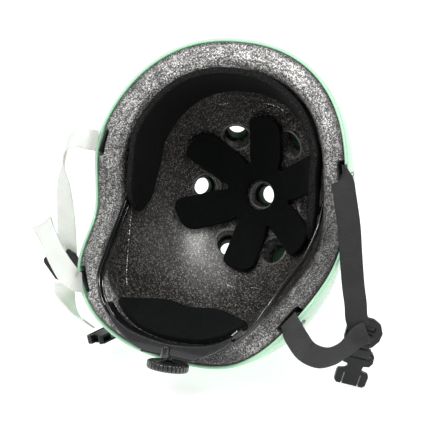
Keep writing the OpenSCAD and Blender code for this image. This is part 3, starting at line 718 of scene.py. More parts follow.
VR = 8.0       # inside of a vent sleeve
holes, sleeves = [], []
for v in VENTS:
    o, n = vent_axis(v)
    ts = surface_depth(o, n, SX, SY, H)
    prof = [(0, -6), (VR, -6), (VR, ts - 3.2), (VR + 0.15, ts - 2.3), (VR + 0.6, ts - 1.5), (9.9, ts - 0.95),
            (11.0, ts - 0.72), (12.6, ts - 0.35), (17.4, ts + 2.2), (17.4, ts + 14), (0, ts + 14)]
    p, f = lathe(prof, 72, o, n)
    holes.append((world(p), f))
    ti = surface_depth(o, n, SX - SHELL_T, SY - SHELL_T, H - SHELL_T)
    w = VR + 1.3
    ring = [(VR + 0.02, 12.7), (VR + 0.02, ti + 0.4), (w, ti + 0.2), (w + 0.05, ti - 1.2), (w, 12.7), (w - 0.2, 12.15),
            (w - 0.64, 11.95), (VR + 0.25, 12.15)]
    p, f = torus_lathe(ring, 72, o, n)
    sleeves.append((world(p), f))
cut(shell, holes)

# split the faces: gloss outside, duller inside; clean normals on the dome
me = shell.data
co = np.empty(len(me.vertices) * 3)
me.vertices.foreach_get("co", co)
co = local(co.reshape(-1, 3))
lev = level(co, SX, SY, H)
on_out = np.abs(lev - 1) < 0.0022
inner_lev = level(co, SX - SHELL_T, SY - SHELL_T, H - SHELL_T)
on_in = np.abs(inner_lev - 1) < 0.004


def dome_normals(p, ax, ay, h):
    e = 0.02
    g = np.stack([level(p + np.eye(3)[i] * e, ax, ay, h) - level(p - np.eye(3)[i] * e, ax, ay, h) for i in range(3)], -1)
    g = g / np.linalg.norm(g, axis=-1, keepdims=True)
    w = world(g * 1000.0)
    return w / np.linalg.norm(w, axis=-1, keepdims=True)


good = dome_normals(co, SX, SY, H)
fm = np.zeros(len(me.polygons), dtype=np.int32)
flat = []
corner = np.empty(len(me.loops) * 3)
me.corner_normals.foreach_get("vector", corner)
corner = corner.reshape(-1, 3)
for p in me.polygons:
    vs = list(p.vertices)
    if all(on_out[i] for i in vs):
        for li, vi in zip(p.loop_indices, vs):
            if co[vi][2] - 0 > -200:
                corner[li] = good[vi]
    elif all(on_in[i] for i in vs):
        fm[p.index] = 1
me.polygons.foreach_set("material_index", fm)
me.normals_split_custom_set([tuple(c) for c in corner])
stands_for(shell, "outer_shell", slot="shell_mint")

v, f, _ = merged(sleeves)
sleeve = new_object("shell_vent_sleeves", v, f, [M_SLEEVE_SHADED], angle=60)
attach(sleeve, "helmet")

# ---------------------------------------------------------------- foam liner
rows = dome_rows(RZ + 4, FX, FY, FH, np.linspace(1, 0, 20)[1:])
ctrl = [(20.0, 6.5, 1.0), (20.0, 4.0, 1.0), (20.0, 1.6, 1.0), (19.0, 0.1, 0.6), (17.0, -0.35, 0.25), (12.0, 0.7, 0.0),
        (7.0, 2.1, 0.0), (4.0, 3.6, 0.1), (2.2, 5.5, 0.35), (0.9, 8.0, 0.8), (0.2, 11.0, 1.0), (0.0, 14.0, 1.0)]
prof = catmull(ctrl, 4)
prof = prof[5:-4]
for o, dz, k in prof:
    rows.append(wall_pt(A, RZ + dz, CX + o, CY + o, CH + o * 1.095, k))
rows += dome_rows(RZ + 13.5, CX, CY, CH, np.linspace(0, 1, 46)[:-1])
nr = len(rows)
verts = np.concatenate(rows + [np.array([[0, 0, FH], [0, 0, CH]])])
faces = grid_faces(nr, NA)
faces += [(nr * NA, (j + 1) % NA, j) for j in range(NA)]
faces += [(nr * NA + 1, (nr - 1) * NA + j, (nr - 1) * NA + (j + 1) % NA) for j in range(NA)]
liner = new_object("liner_bead_foam", world(verts), faces, [M_FOAM], angle=70)


def rounded_box(size, place, r=2.0):
    x, y, z = (s / 2 for s in size)
    return prism([(-x, -y), (x, -y), (x, y), (-x, y)], -z, z, place, r, 2)


parts = []
for i, v in enumerate(VENTS):
    o, n = vent_axis(v)
    prof = [(0, -14), (15.6, -14), (13.7, -3.2), (12.6, -1.6), (11.6, -0.4), (11.0, 1.6), (11.0, 60), (0, 60)]
    p, f = lathe(prof, 64, o, n)
    parts.append((world(p), f))
for a in (77, 126, -77, -126):
    qx, qy = plan(a, FX, FY)
    p0, p1 = plan(a - 2, FX, FY), plan(a + 2, FX, FY)
    turn = math.atan2(p1[1] - p0[1], p1[0] - p0[0]) - math.pi / 2
    cs, sn = math.cos(turn), math.sin(turn)
    c = np.array([qx, qy, float(rim_z(a)) + 8])

    def put(p, c=c, cs=cs, sn=sn):
        return world(c + np.array([p[0] * cs - p[1] * sn, p[0] * sn + p[1] * cs, p[2]]))
    parts.append(rounded_box((13, 24, 46), put))
for s in (-1, 1):
    p, f = lathe([(0, 0), (4.7, 0), (4.7, 17), (0, 17)], 40, (s * (CX - 10), -4, 42), (s, 0, 0))
    parts.append((world(p), f))
cut(liner, parts)
me = liner.data
co = np.empty(len(me.vertices) * 3)
me.vertices.foreach_get("co", co)
co = local(co.reshape(-1, 3))
hd = heading(co)
above = co[:, 2] - rim_z(hd)
out = level(co, CX + 18.3, CY + 18.3, CH + 20) - 1
# painted light: rim is 1 on the rim band, which takes the paler lit tone, and falls to 0 down the cavity, which keeps
# the darker shaded tone
rim = 1 - smooth01(above, 5.0, 13.0)
# painted shade: the rim is darkened along its outer edge, where the foam meets the shell
edge = smooth01(out, -0.035, 0.01) * (above < 6)
across = level(np.stack([co[:, 0], co[:, 1], np.zeros(len(co))], -1), CX, CY, CH)
# painted highlight: a broad bright band across the inner half of the rim, strongest towards the top right
band = smooth01(across, 1.46, 1.16) * smooth01(across, 0.94, 1.08) * (above < 9)
band = band * (0.55 + 0.45 * np.cos(np.radians(hd - 25)))
# painted highlight on the cavity wall: a narrow bright streak and a wider soft zone beside it
d = co - np.array([-50.0, 37.0, 0.0])
inside = co[:, 2] > 70
painted_wall_highlight = np.exp(-((d[:, 0] - 0.22 * d[:, 1]) / 7.5) ** 2 - (d[:, 1] / 19.0) ** 2) * inside
d = co - np.array([-36.0, 56.0, 0.0])
painted_wall_highlight = painted_wall_highlight + 0.36 * np.exp(-((d[:, 0] - 0.5 * d[:, 1]) / 19.0) ** 2 - (d[:, 1] / 24.0) ** 2) * inside
d = co - np.array([-70.0, 40.0, 70.0])
painted_wall_highlight = painted_wall_highlight + 0.12 * np.exp(-(d[:, 0] / 20.0) ** 2 - (d[:, 1] / 40.0) ** 2 - (d[:, 2] / 30.0) ** 2)
painted_wall_highlight = np.clip(painted_wall_highlight, 0, 1)
# painted light: the rim is painted palest over the brow and darker at the sides, with two painted highlights low on
# either side
painted_light_by_heading = [(-180, 0.5), (-158, 0.55), (-143, 0.72), (-133, 1.15), (-122, 0.62), (-100, 0.55), (-75, 0.62), (-50, 0.72), (-25, 1.12),
           (0, 1.32), (25, 1.2), (50, 0.92), (66, 0.62), (80, 0.36), (100, 0.28), (122, 0.34), (134, 0.42), (146, 1.0), (154, 0.8),
           (165, 0.62), (180, 0.5)]
shade = np.interp(hd, [t[0] for t in painted_light_by_heading], [t[1] for t in painted_light_by_heading])
hr = np.radians(hd)
flow = np.stack([2.2 * np.sin(hr), -2.2 * np.cos(hr), 7.0 * across], -1)
for nm, val in (("rim", rim), ("edge", edge), ("band", band), ("painted_wall_highlight", painted_wall_highlight), ("shade", shade)):
    at = me.attributes.new(nm, "FLOAT", "POINT")
    at.data.foreach_set("value", val.astype(np.float32))
at = me.attributes.new("flow", "FLOAT_VECTOR", "POINT")
at.data.foreach_set("vector", flow.astype(np.float32).ravel())
me.polygons.foreach_set("use_smooth", [True] * len(me.polygons))
me.set_sharp_from_angle(angle=math.radians(55))
stands_for(liner, "eps_liner", slot="bead_foam")

# thin raised seams left by the mould on the cavity wall
seams = []
for line in ([(-100, 47), (-111, 43), (-120, 37), (-130, 27), (-138, 17)], [(-31, 74), (-28, 81), (-24, 86), (-18, 87)],
             [(4, 88), (12, 88), (18, 90)], [(-172, 103), (-175, 102.6), (-178, 102)], [(171, 104), (168, 103.4), (164.5, 103)]):
    row = []
    for a, z in line:
        row.append(wall_pt(np.array([float(a)]), np.array([float(z)]), CX + 0.2, CY + 0.2, CH + 0.2)[0])
    row = np.array(catmull([tuple(q) for q in row], 6))
    t = np.gradient(row, axis=0)
    t /= np.linalg.norm(t, axis=1, keepdims=True)
    inward = np.stack([-row[:, 0], -row[:, 1], np.zeros(len(row))], -1)
    inward /= np.linalg.norm(inward, axis=1, keepdims=True)
    side = np.cross(t, inward)
    pts = []
    for i in range(len(row)):
        w = 0.38 * math.sin(math.pi * (0.06 + 0.88 * i / (len(row) - 1))) ** 0.5
        for b in range(8):
            c8 = 2 * math.pi * b / 8
            pts.append(row[i] + side[i] * w * math.cos(c8) + inward[i] * (w * math.sin(c8) + 0.1))
    fs = grid_faces(len(row), 8, True, False) + [tuple(range(8)), tuple((len(row) - 1) * 8 + k for k in reversed(range(8)))]
    seams.append((world(np.array(pts)), fs))
v, f, _ = merged(seams)
seam = new_object("liner_mould_seams", v, f, [mat_foam("bead_foam_seam", (0.34, 0.34, 0.33), (0.3, 0.3, 0.3), rim=False)])
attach(seam, "helmet")

# raised lips moulded round the vents, inside
lips = []
for i, v in enumerate(VENTS):
    o, n = vent_axis(v)
    h = 1.0 if i == 0 else 0.45
    mid = 11.9 if i == 0 else 13.3
    e1 = np.cross(n, [0.0, 1.0, 0.0])
    e1 = e1 / np.linalg.norm(e1)
    e2 = np.cross(n, e1)
    pts = []
    for j in range(84):
        b = 2 * math.pi * j / 84
        out_dir = e1 * math.cos(b) + e2 * math.sin(b)
        foot = o + out_dir * mid - n * 12
        foot = foot + n * surface_depth(foot, n, CX, CY, CH)
        for t in range(10):
            q = 2 * math.pi * t / 10
            pts.append(foot + out_dir * 0.85 * math.cos(q) + n * (0.8 * h * math.sin(q) - 0.1))
    lips.append((world(np.array(pts)), grid_faces(84, 10, True, True)))
v, f, _ = merged(lips)
lip = new_object("liner_vent_lips", v, f, [M_LIP])
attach(lip, "helmet")

# ---------------------------------------------------------------- pads
rng = np.random.default_rng(5)


def petal_edge(a):
    u = (a - 5) / 60
    b = np.abs(60 * (u - np.round(u)))
    side = 15 / np.maximum(np.sin(np.radians(b)), 1e-3)
    return np.maximum(30.5, np.minimum(side, 69 - 5 * (b / 14) ** 3.4))


def lift_pt(x, y, lift):
    ax, ay, h = CX - lift, CY - lift, CH - lift
    q = np.abs(x / ax) ** PN + np.abs(y / ay) ** PN
    z = h * np.maximum(0.001, 1 - q ** (PM / PN)) ** (1 / PM)
    return np.stack([x, y, z], -1)


NP = 600
PA = np.arange(NP) * 360.0 / NP
EDGE = petal_edge(PA)
# soften the corners of the outline a little
for _ in range(3):
    EDGE = (np.roll(EDGE, 1) + 2 * EDGE + np.roll(EDGE, -1)) / 4
HUB = 13.4
rows, tag = [], []


def crown_row(r, lift, mat):
    x = r * np.sin(np.radians(PA))
    y = -8 - r * np.cos(np.radians(PA))
    rows.append(lift_pt(x, y, lift))
    tag.append(mat)


for f in np.linspace(0, 1, 14):
    crown_row(HUB + 0.4 + (EDGE - 0.5 - HUB) * f, 2.3, 1)
for d, l in ((0.1, 2.9), (0.0, 4.2), (0.05, 5.6)):
    crown_row(EDGE - d, l, 1)
for d, l in ((0.25, 6.7), (0.8, 7.6), (1.7, 8.1)):
    crown_row(EDGE - d, l, 0)
uu = (PA - 5) / 60
bb = np.abs(60 * (uu - np.round(uu)))
for f in np.linspace(0.04, 0.96, 22):
    r = (EDGE - 1.7) + (HUB + 1.6 - (EDGE - 1.7)) * f
    across = np.clip(r * np.sin(np.radians(bb)) / 15.0, 0, 1)
    puff = 0.55 * (1 - across ** 2) * np.sin(np.pi * np.clip(f, 0, 1)) ** 0.5
    crown_row(r, 8.1 + puff, 0)
for d, l in ((1.0, 7.8), (0.3, 7.0), (0.0, 5.4), (0.0, 3.2)):
    crown_row(np.full(NP, HUB + d), l, 0 if l > 6.5 else 1)
nr = len(rows)
verts = world(np.concatenate(rows))
faces = grid_faces(nr, NP, True, True)
fmat = []
for i in range(nr):
    k = max(tag[i], tag[(i + 1) % nr]) if not (tag[i] == 0 and tag[(i + 1) % nr] == 0) else 0
    fmat += [k] * NP
flower = new_object("crown_pad_cloth", verts, faces, [M_CLOTH2, M_EDGE], fmat, angle=60, tidy=False)
bm = bmesh.new(); bm.from_mesh(flower.data); bmesh.ops.recalc_face_normals(bm, faces=bm.faces); bm.to_mesh(flower.data); bm.free()
stands_for(flower, "crown_pad", slot="pad_cloth")


def brow_lo(b):
    return 17 + 6 * np.cos(np.radians(b)) + 9 * smooth01(b, 70, 92) + 16 * (np.maximum(b - 88, 0) / 12) ** 2


def brow_hi(b):
    return 56 + 6 * np.cos(np.radians(b)) + 3 * smooth01(b, 20, 80) - 7 * (np.maximum(b - 88, 0) / 12) ** 2


NB = 240
BA = np.concatenate([np.linspace(-100, -88, 26)[:-1], np.linspace(-88, 88, 188), np.linspace(88, 100, 26)[1:]])
NB = len(BA)
bb = np.abs(BA)
lo, hi = brow_lo(bb), brow_hi(bb)
end = np.sqrt(np.clip(1 - (np.clip(bb - 89, 0, 11) / 11.05) ** 2.4, 0.004, 1))
mid = (lo + hi) / 2
lo, hi = mid + (lo - mid) * end, mid + (hi - mid) * end
thick = 6.0 * (0.45 + 0.55 * end)
under = 2.2 + 3.6 * smooth01(bb, 64, 78)
loop = []   # (share of height from lo, share of thickness, tag): 0 cloth, 1 foam edge
for s in np.linspace(0.03, 0.97, 8):
    loop.append((s, 0.0, 1, 0))
for s, t in ((0.995, 0.12), (1.0, 0.35), (1.0, 0.62)):
    loop.append((s, t, 1, 0))
for s, t in ((0.995, 0.82), (0.98, 0.94)):
    loop.append((s, t, 0, 0))
for s in np.linspace(0.95, 0.05, 20):
    loop.append((s, 1.0, 0, 1))
for s, t in ((0.02, 0.95), (0.006, 0.86)):
    loop.append((s, t, 0, 0))
for s, t in ((0.0, 0.70), (0.0, 0.45), (0.0, 0.2), (0.008, 0.05)):
    loop.append((s, t, 1, 0))
cols = []
for s, t, tg, face in loop:
    z = lo + (hi - lo) * s
    puff = (0.7 * (1 - (2 * s - 1) ** 4) + 0.18 * np.sin(BA * 0.21 + 3 * s) * (1 - (2 * s - 1) ** 2)) * face
    lift = under + thick * t + puff * np.minimum(1, end * 1.5)
    cols.append(wall_pt(BA, z, CX - lift, CY - lift, CH - lift))
m = len(cols)
pts = np.stack(cols, 1)                     # NB, m, 3
verts = world(pts.reshape(-1, 3))
faces, fmat = [], []
for i in range(NB - 1):
    for k in range(m):
        q = (k + 1) % m
        faces.append((i * m + k, i * m + q, (i + 1) * m + q, (i + 1) * m + k))
        fmat.append(1 if (loop[k][2] and loop[q][2]) or (loop[k][2] != loop[q][2] and k < q and loop[q][2]) else 0)
faces.append(tuple(range(m)))
faces.append(tuple((NB - 1) * m + k for k in reversed(range(m))))
fmat += [0, 0]
brow = new_object("brow_pad_cloth", verts, faces, [M_CLOTH, M_EDGE], fmat, angle=60, tidy=False)
bm = bmesh.new(); bm.from_mesh(brow.data); bmesh.ops.recalc_face_normals(bm, faces=bm.faces); bm.to_mesh(brow.data); bm.free()
stands_for(brow, "front_pad", slot="pad_cloth")


def seat_lo(f):
    return np.stack([50 * f, 116.2 - 7.5 * f * f - 6 * f ** 4, -20 + 3 * f * f], -1)


def seat_pt(f, v, d):
    f = np.asarray(f, float)
    a = seat_lo(f)
    c = np.stack([50.5 * f, 88 + 8 * f * f - 6.4 * f ** 4, 12 - 4 * f * f - 8.5 * f ** 4], -1)
    n = np.cross(seat_lo(f + 0.02) - seat_lo(f - 0.02), c - a)
    n = n / np.linalg.norm(n, axis=-1, keepdims=True)
    v = np.asarray(v, float)[..., None]
    return a + (c - a) * v - n * 9 * v * (1 - v) + n * np.asarray(d, float)[..., None]


def seat_pad(name, f1, v0, v1, d0, d1, mats, rings_in=14, n=220):
    t = np.arange(n) * 2 * math.pi / n
    cf = sgnpow(np.cos(t), 0.60)
    cv = sgnpow(np.sin(t), 0.55)
    rows, tag = [], []

    def row(s, d, tg):
        f = f1 * cf * s
        lim = 1 - 0.12 * np.abs(f / f1) ** 6 - 0.13 * np.exp(-(f / 0.34) ** 2)
        v = (v0 + v1) / 2 + (v1 - v0) / 2 * cv * s
        v = v0 + (v - v0) * lim
        rows.append(seat_pt(f, v, d))
        tag.append(tg)
    full = np.ones(n)
    for s in np.linspace(0.08, 0.985, rings_in):
        row(s, full * d0, 1)
    for s, e in ((0.997, 0.10), (1.0, 0.3), (1.0, 0.55)):
        row(s, full * (d0 + (d1 - d0) * e), 1)
    for s, e in ((0.997, 0.76), (0.985, 0.90), (0.962, 0.98)):
        row(s, full * (d0 + (d1 - d0) * e), 0)
    for s in np.linspace(0.94, 0.08, rings_in + 4):
        row(s, full * (d1 + 0.9 * (1 - s ** 3) * (1 if d1 > 3 else 0)), 0)
    nr = len(rows)
    verts = np.concatenate(rows)
    c0 = seat_pt(np.array([0.0]), np.array([(v0 + v1) / 2]), np.array([d0]))
    c1 = seat_pt(np.array([0.0]), np.array([(v0 + v1) / 2]), np.array([d1 + (0.9 if d1 > 3 else 0)]))
    verts = world(np.concatenate([verts, c0, c1]))
    faces = grid_faces(nr, n)
    fmat = []
    for i in range(nr - 1):
        fmat += [1 if tag[i] and tag[i + 1] else 0] * n
    a0, a1 = nr * n, nr * n + 1
    faces += [(a0, (j + 1) % n, j) for j in range(n)]
    faces += [(a1, (nr - 1) * n + j, (nr - 1) * n + (j + 1) % n) for j in range(n)]
    fmat += [1] * n + [0] * n
    return new_object(name, verts, faces, mats, fmat, angle=60)


nape = seat_pad("nape_pad_cloth", 1.14, 0.01, 0.99, 0.25, 6.1, [M_CLOTH3, M_EDGE])
stands_for(nape, "rear_pad", slot="pad_cloth")
yoke = seat_pad("cradle_yoke_plate", 0.8, 0.16, 0.8, -3.1, -1.4, [M_HOUSE, M_HOUSE], 8, 160)
stands_for(yoke, "cradle_yoke", slot="black_plastic")

recopy("pad_fasteners", "hook_discs", [M_HOOK], 0.2, 2, slot="hook_tape")


# ---------------------------------------------------------------- bands and webbing
def sweep(name, route, width, thick, k, mats, in_local=False, section=None, rib=0.0, pitch=1.15, taper=None,
          step=None, face_mat=None):
    """A flat band along a smooth route of (point, direction across it), millimetres."""
    P = catmull([r[0] for r in route], k)
    D = catmull([r[1] for r in route], k)
    if step:
        seg = np.linalg.norm(np.diff(P, axis=0), axis=1)
        s = np.concatenate([[0], np.cumsum(seg)])
        q = np.linspace(0, s[-1], int(s[-1] / step) + 1)
        P = np.stack([np.interp(q, s, P[:, i]) for i in range(3)], -1)
        D = np.stack([np.interp(q, s, D[:, i]) for i in range(3)], -1)
    T = np.gradient(P, axis=0)
    T /= np.linalg.norm(T, axis=1, keepdims=True)
    V = D - (D * T).sum(1, keepdims=True) * T
    V /= np.linalg.norm(V, axis=1, keepdims=True)
    N = np.cross(T, V)
    seg = np.linalg.norm(np.diff(P, axis=0), axis=1)
    S = np.concatenate([[0], np.cumsum(seg)])
    if section is None:
        r = min(0.5, thick * 0.45)
        w, t = width / 2, thick / 2
        xs = list(np.linspace(-w + r, w - r, 9))
        section = [(x, -t) for x in xs] + [(w - 0.15 * r, -t * 0.6), (w, 0), (w - 0.15 * r, t * 0.6)]
        section += [(x, t) for x in reversed(xs)] + [(-w + 0.15 * r, t * 0.6), (-w, 0), (-w + 0.15 * r, -t * 0.6)]
    m = len(section)
    verts, uvs = [], []
    for i in range(len(P)):
        f = 1.0
        if taper is not None:
            f = taper(S[i], S[-1])
        w = rib * math.sin(2 * math.pi * S[i] / pitch)
        for (a, b) in section:
            bb = b + (w if b > 0 else -w) * (1 if abs(b) > thick * 0.35 else 0)
            verts.append(P[i] + V[i] * a * f + N[i] * bb)
            uvs.append((S[i], (a + width / 2) / width))
    verts = np.array(verts)
    verts = world(verts) if in_local else verts / 1000.0
    n = len(P)
    faces = grid_faces(n, m, True, False)
    faces.append(tuple(range(m)))
    faces.append(tuple((n - 1) * m + k for k in reversed(range(m))))
    fm = None
    if face_mat is not None:
        fm = [face_mat(k % m) for k in range((n - 1) * m)] + [0, 0]
    me = bpy.data.meshes.new(name)
    me.from_pydata([tuple(map(float, v)) for v in verts], [], faces)
    for mt in mats:
        me.materials.append(mt)
    if fm:
        me.polygons.foreach_set("material_index", np.array(fm, dtype=np.int32))
    lay = me.uv_layers.new(name="UVMap")
    for lp in me.loops:
        lay.data[lp.index].uv = uvs[lp.vertex_index]
    me.polygons.foreach_set("use_smooth", [True] * len(me.polygons))
    bm = bmesh.new(); bm.from_mesh(me); bmesh.ops.recalc_face_normals(bm, faces=bm.faces); bm.to_mesh(me); bm.free()
    me.set_sharp_from_angle(angle=math.radians(48))
    ob = bpy.data.objects.new(name, me)
    scene.collection.objects.link(ob)
    return ob


R_FR = [((111.3, 22.5, 29), (0, 0.34, 0.94)), ((112, 14, 31), (0.1, 0.4, 0.9)), ((114.5, 4, 32.5), (0.3, 0.5, 0.8)),
        ((118, 0, 25), (0.55, 0.5, 0.65)), ((120.3, 1, 11), (0.8, 0.45, 0.3)), ((122, 5, -8), (0.9, 0.42, 0)),
        ((123.5, 8, -32), (0.9, 0.42, 0)), ((126, 9, -56), (0.9, 0.42, 0)), ((129.3, 7, -71), (0.9, 0.42, -0.1)),
        ((131, 4.8, -80.5), (0.88, 0.41, -0.2)), ((132.6, 5, -86.5), (0.87, 0.41, -0.25)), ((133.5, 5.1, -90), (0.87, 0.41, -0.27))]
R_RR = [((91.6, -43.2, -70.8), (0.155, 0.53, 0.83)), ((97.2, -50.2, -74.2), (0.28, 0.45, 0.8)), ((103, -53, -80.8), (0.45, 0.42, 0.75)),
        ((110, -50, -91.3), (0.5, 0.45, 0.7)), ((119, -40, -99.2), (0.4, 0.5, 0.75)), ((125.5, -25, -101.8), (0.2, 0.4, 0.9)),
        ((129.5, -11, -100.4), (0, 0.3, 0.95)), ((132.8, -1.5, -97.5), (-0.2, 0.1, 0.95)), ((137, 3.2, -94.8), (-0.3, 0, 0.93)),
        ((141, 4.8, -93), (-0.35, 0.05, 0.93))]
R_FL = [((-111.3, 22.5, 29), (0, 0.34, 0.94)), ((-116, 15, 32), (0, 0.45, 0.9)), ((-125, 11, 33), (-0.1, 0.65, 0.7)),
        ((-134, 11, 26), (-0.25, 0.8, 0.45)), ((-139, 13, 10), (-0.4, 0.85, -0.05)), ((-140.5, 13, -14), (-0.85, 0.3, 0)),
        ((-139, 12, -42), (-0.92, 0, 0)), ((-138.5, 10.5, -76), (-0.9, -0.3, 0))]
R_RL = [((-92, -43.5, -73.5), (-0.45, 0.3, 0.8)), ((-95.5, -50.5, -69), (-0.35, 0.35, 0.85)), ((-103, -52, -60), (-0.1, 0.3, 0.95)),
        ((-114, -49, -47), (0.2, 0.3, 0.93)), ((-125, -42, -35), (0.45, 0.3, 0.85)), ((-135, -32, -32), (0.7, 0.35, 0.6)),
        ((-142, -20, -41), (0.88, 0.42, 0.2)), ((-144, -9, -56), (0.9, 0.42, 0)), ((-141.5, -1, -71), (0.9, 0.42, 0))]
R_CL = [((-138, 3, -101.6), (-0.9, -0.3, 0)), ((-137.5, 1.5, -107), (-0.9, -0.35, 0.1)), ((-131, -5, -114), (-0.6, -0.6, 0.5)),
        ((-121, -13, -118.5), (-0.3, -0.7, 0.65)), ((-110, -20, -120.5), (-0.2, -0.7, 0.7)), ((-98, -24.5, -121), (-0.15, -0.7, 0.7))]

stands_for(sweep("webbing_front_right", R_FR, 18, 1.5, 14, [M_WEB]), "strap_front_right", slot="web_black")
stands_for(sweep("webbing_rear_right", R_RR, 18, 1.35, 14, [M_WEBR], rib=0.11, step=0.19), "strap_rear_right", slot="web_black")
stands_for(sweep("webbing_front_left", R_FL, 18, 1.5, 14, [M_WEBP]), "strap_front_left", slot="web_pale")
stands_for(sweep("webbing_rear_left", R_RL, 18, 1.5, 14, [M_WEBP]), "strap_rear_left", slot="web_pale")
stands_for(sweep("webbing_chin_left", R_CL, 18, 1.5, 14, [M_WEBP]), "strap_chin_left", slot="web_pale")

ARM = [((87.1, -12, 42), (-0.2, 0, 1)), ((87.2, -4, 42), (-0.2, 0, 1)), ((87, 9, 38.5), (-0.18, 0, 1)), ((86.2, 24, 29.5), (-0.1, 0, 1)),
       ((84.4, 38, 19), (-0.03, 0, 1)), ((79.5, 56, 0), (0, 0, 1)), ((74, 76, -18), (0, 0, 1)), ((66, 93, -23), (0, 0, 1)),
       ((54, 106, -24), (0, 0, 1))]
BAND = [((x, y, -24), (0, 0, 1)) for x, y in ((60, 94.5), (51, 104), (38, 111.5), (20, 116), (0, 117.6), (-20, 116),
                                              (-38, 111.5), (-51, 104), (-60, 94.5))]
# flat strip with two raised ribs along each face
rib = [(-5.5, 0.0), (-5.35, -0.5), (-5.0, -0.62), (-3.4, -0.62), (-3.1, -1.0), (-2.6, -1.0), (-2.3, -0.62), (2.3, -0.62),
       (2.6, -1.0), (3.1, -1.0), (3.4, -0.62), (5.0, -0.62), (5.35, -0.5), (5.5, 0.0)]
rib = rib + [(a, -b) for a, b in reversed(rib[1:-1])]


def arm_taper(s, total):
    return min(1.0, 0.45 + 0.55 * math.sqrt(min(1.0, s / 5.0)))


arm_l = sweep("fit_arm_left", ARM, 11, 1.6, 12, [M_ARM], True, rib, taper=arm_taper)
stands_for(arm_l, "ring_arm_left", slot="black_plastic")
arm_r = sweep("fit_arm_right", [((-p[0], p[1], p[2]), (-d[0], d[1], d[2])) for p, d in ARM], 11, 1.6, 12, [M_ARM], True, rib, taper=arm_taper)
stands_for(arm_r, "ring_arm_right", slot="black_plastic")

# ---------------------------------------------------------------- dial housing and dial
band = sweep("cradle_band_tmp", BAND, 12, 2.0, 10, [M_HOUSE], True)
outer = catmull([(-53.2, 103.3), (-52, 106.5), (-44, 113.8), (-36, 119.2), (-29, 122.8), (-22.5, 124.9), (-11, 125.3), (0, 125.4),
                 (11, 125.3), (22.5, 124.9), (29, 122.8), (36, 119.2), (44, 113.8), (52, 106.5), (53.2, 103.3)], 5)
inner = catmull([(50, 103.6), (38, 110.7), (20, 115.3), (0, 116.9), (-20, 115.3), (-38, 110.7), (-50, 103.6)], 6)
outline = [tuple(p) for p in outer[::-1]] + [tuple(p) for p in inner[::-1]]


def flat_place(p):
    return world(np.array([p[0], p[1], p[2]]))


hv = prism(outline, -32.5, -15.5, flat_place, 1.6, 4)
# outline for a raised panel round the dial, a step proud of the crescent; it is not built
panel = [(-22.3, 0), (22.3, 0), (22.3, 15.2), (20.5, 16.2), (-20.5, 16.2), (-22.3, 15.2)]
bmv = [np.asarray(v) for v in band.data.vertices]
band_v = np.array([v.co[:] for v in band.data.vertices])
band_f = [tuple(p.vertices) for p in band.data.polygons]
boss_prof = [(0, 0), (3.1, 0), (3.55, 0.5), (3.6, 1.2), (3.6, 8.2), (3.35, 9.1), (2.9, 9.4), (0, 9.4)]
bv = lathe(boss_prof, 48, (0, 118.4, -32.5), (0, 1, 0))
v, f, _ = merged([hv, (band_v, band_f), (world(bv[0]), bv[1])])
bd = band.data
bpy.data.objects.remove(band)
bpy.data.meshes.remove(bd)
house = new_object("dial_housing", v, f, [M_HOUSE], angle=40, tidy=False)
bm = bmesh.new(); bm.from_mesh(house.data); bmesh.ops.recalc_face_normals(bm, faces=bm.faces); bm.to_mesh(house.data); bm.free()
stands_for(house, "rear_cradle", slot="black_plastic")
recopy("housing_cover", "dial_housing_cover", [M_HOUSE], 0.45, 3, slot="black_plastic")
recopy("cradle_clip", "arm_clip", [M_CHROME], 0.25, 3, slot="clip_chrome")

G = 30


def knob_wave(r, t, a):
    if r < 14.5:
        return r
    w = max(0.0, math.cos(G * a)) ** 3
    return r - 1.05 * w * min(1.0, (r - 14.5) / 1.6)


kp = [(0, 124.6), (3.1, 124.6), (3.27, 124.9), (3.27, 129.6), (3.8, 130.5), (5.6, 130.75), (9.5, 131.6), (13.4, 132.55),
      (14.3, 132.2), (15.6, 131.85), (16.5, 132.2), (16.95, 133.0), (17.0, 134.2), (17.0, 136.2), (16.9, 137.0), (16.4, 137.8),
      (15.6, 138.1), (14.4, 138.1), (13.4, 137.7), (12.2, 137.45), (8.0, 137.2), (4.0, 137.1), (0, 137.1)]
fine = []
for (r0, t0), (r1, t1) in zip(kp[:-1], kp[1:]):
    fine += [(r0, t0), ((r0 + r1) / 2, (t0 + t1) / 2)]
fine.append(kp[-1])
kv = lathe(fine, 360, (0, 0, -24), (0, 1, 0), knob_wave)
shaft = lathe([(0, 120.2), (1.05, 120.2), (1.2, 120.5), (1.2, 125.5), (0, 125.5)], 32, (0, 0, -24), (0, 1, 0))
v, f, _ = merged([(world(kv[0]), kv[1]), (world(shaft[0]), shaft[1])])
knob = new_object("dial_ribbed", v, f, [M_KNOB], angle=42, tidy=False)
bm = bmesh.new(); bm.from_mesh(knob.data); bmesh.ops.recalc_face_normals(bm, faces=bm.faces); bm.to_mesh(knob.data); bm.free()
stands_for(knob, "dial_knob", slot="black_plastic")

# ---------------------------------------------------------------- harness hardware
recopy("slider_right", "slider_plate_right", [M_BLK], 0.9, 4, slot="black_plastic")
recopy("slider_left", "slider_plate_left", [M_BLK], 0.9, 4, slot="black_plastic")
recopy("slider_flap_right", "webbing_fold_right", [M_WEB], 0.6, 3, slot="web_black")
recopy("buckle_male", "buckle_tongue", [M_BLK], 0.7, 4, slot="black_plastic")
recopy("buckle_tab", "webbing_loop_right", [M_WEB], 0.5, 3, slot="web_black")
recopy("buckle_female", "buckle_socket", [M_BLK], 0.6, 4, slot="black_plastic")
recopy("shell_rivets", "rivet_heads", [M_STEEL], 0.15, 2, slot="rivet_steel")
recopy("webbing_anchors", "webbing_ends", [M_WEB], 0.4, 3, slot="web_black")

for node, mt in (("rivet_washers", M_STEEL), ("temple_sockets", M_BLK), ("temple_pins", M_BLK), ("cover_screws", M_STEEL),
                 ("rack_left", M_CLEAR), ("rack_right", M_CLEAR), ("dial_pinion", M_CLEAR)):
    for s in NODES[node].material_slots:
        s.link = "OBJECT"
        s.material = mt

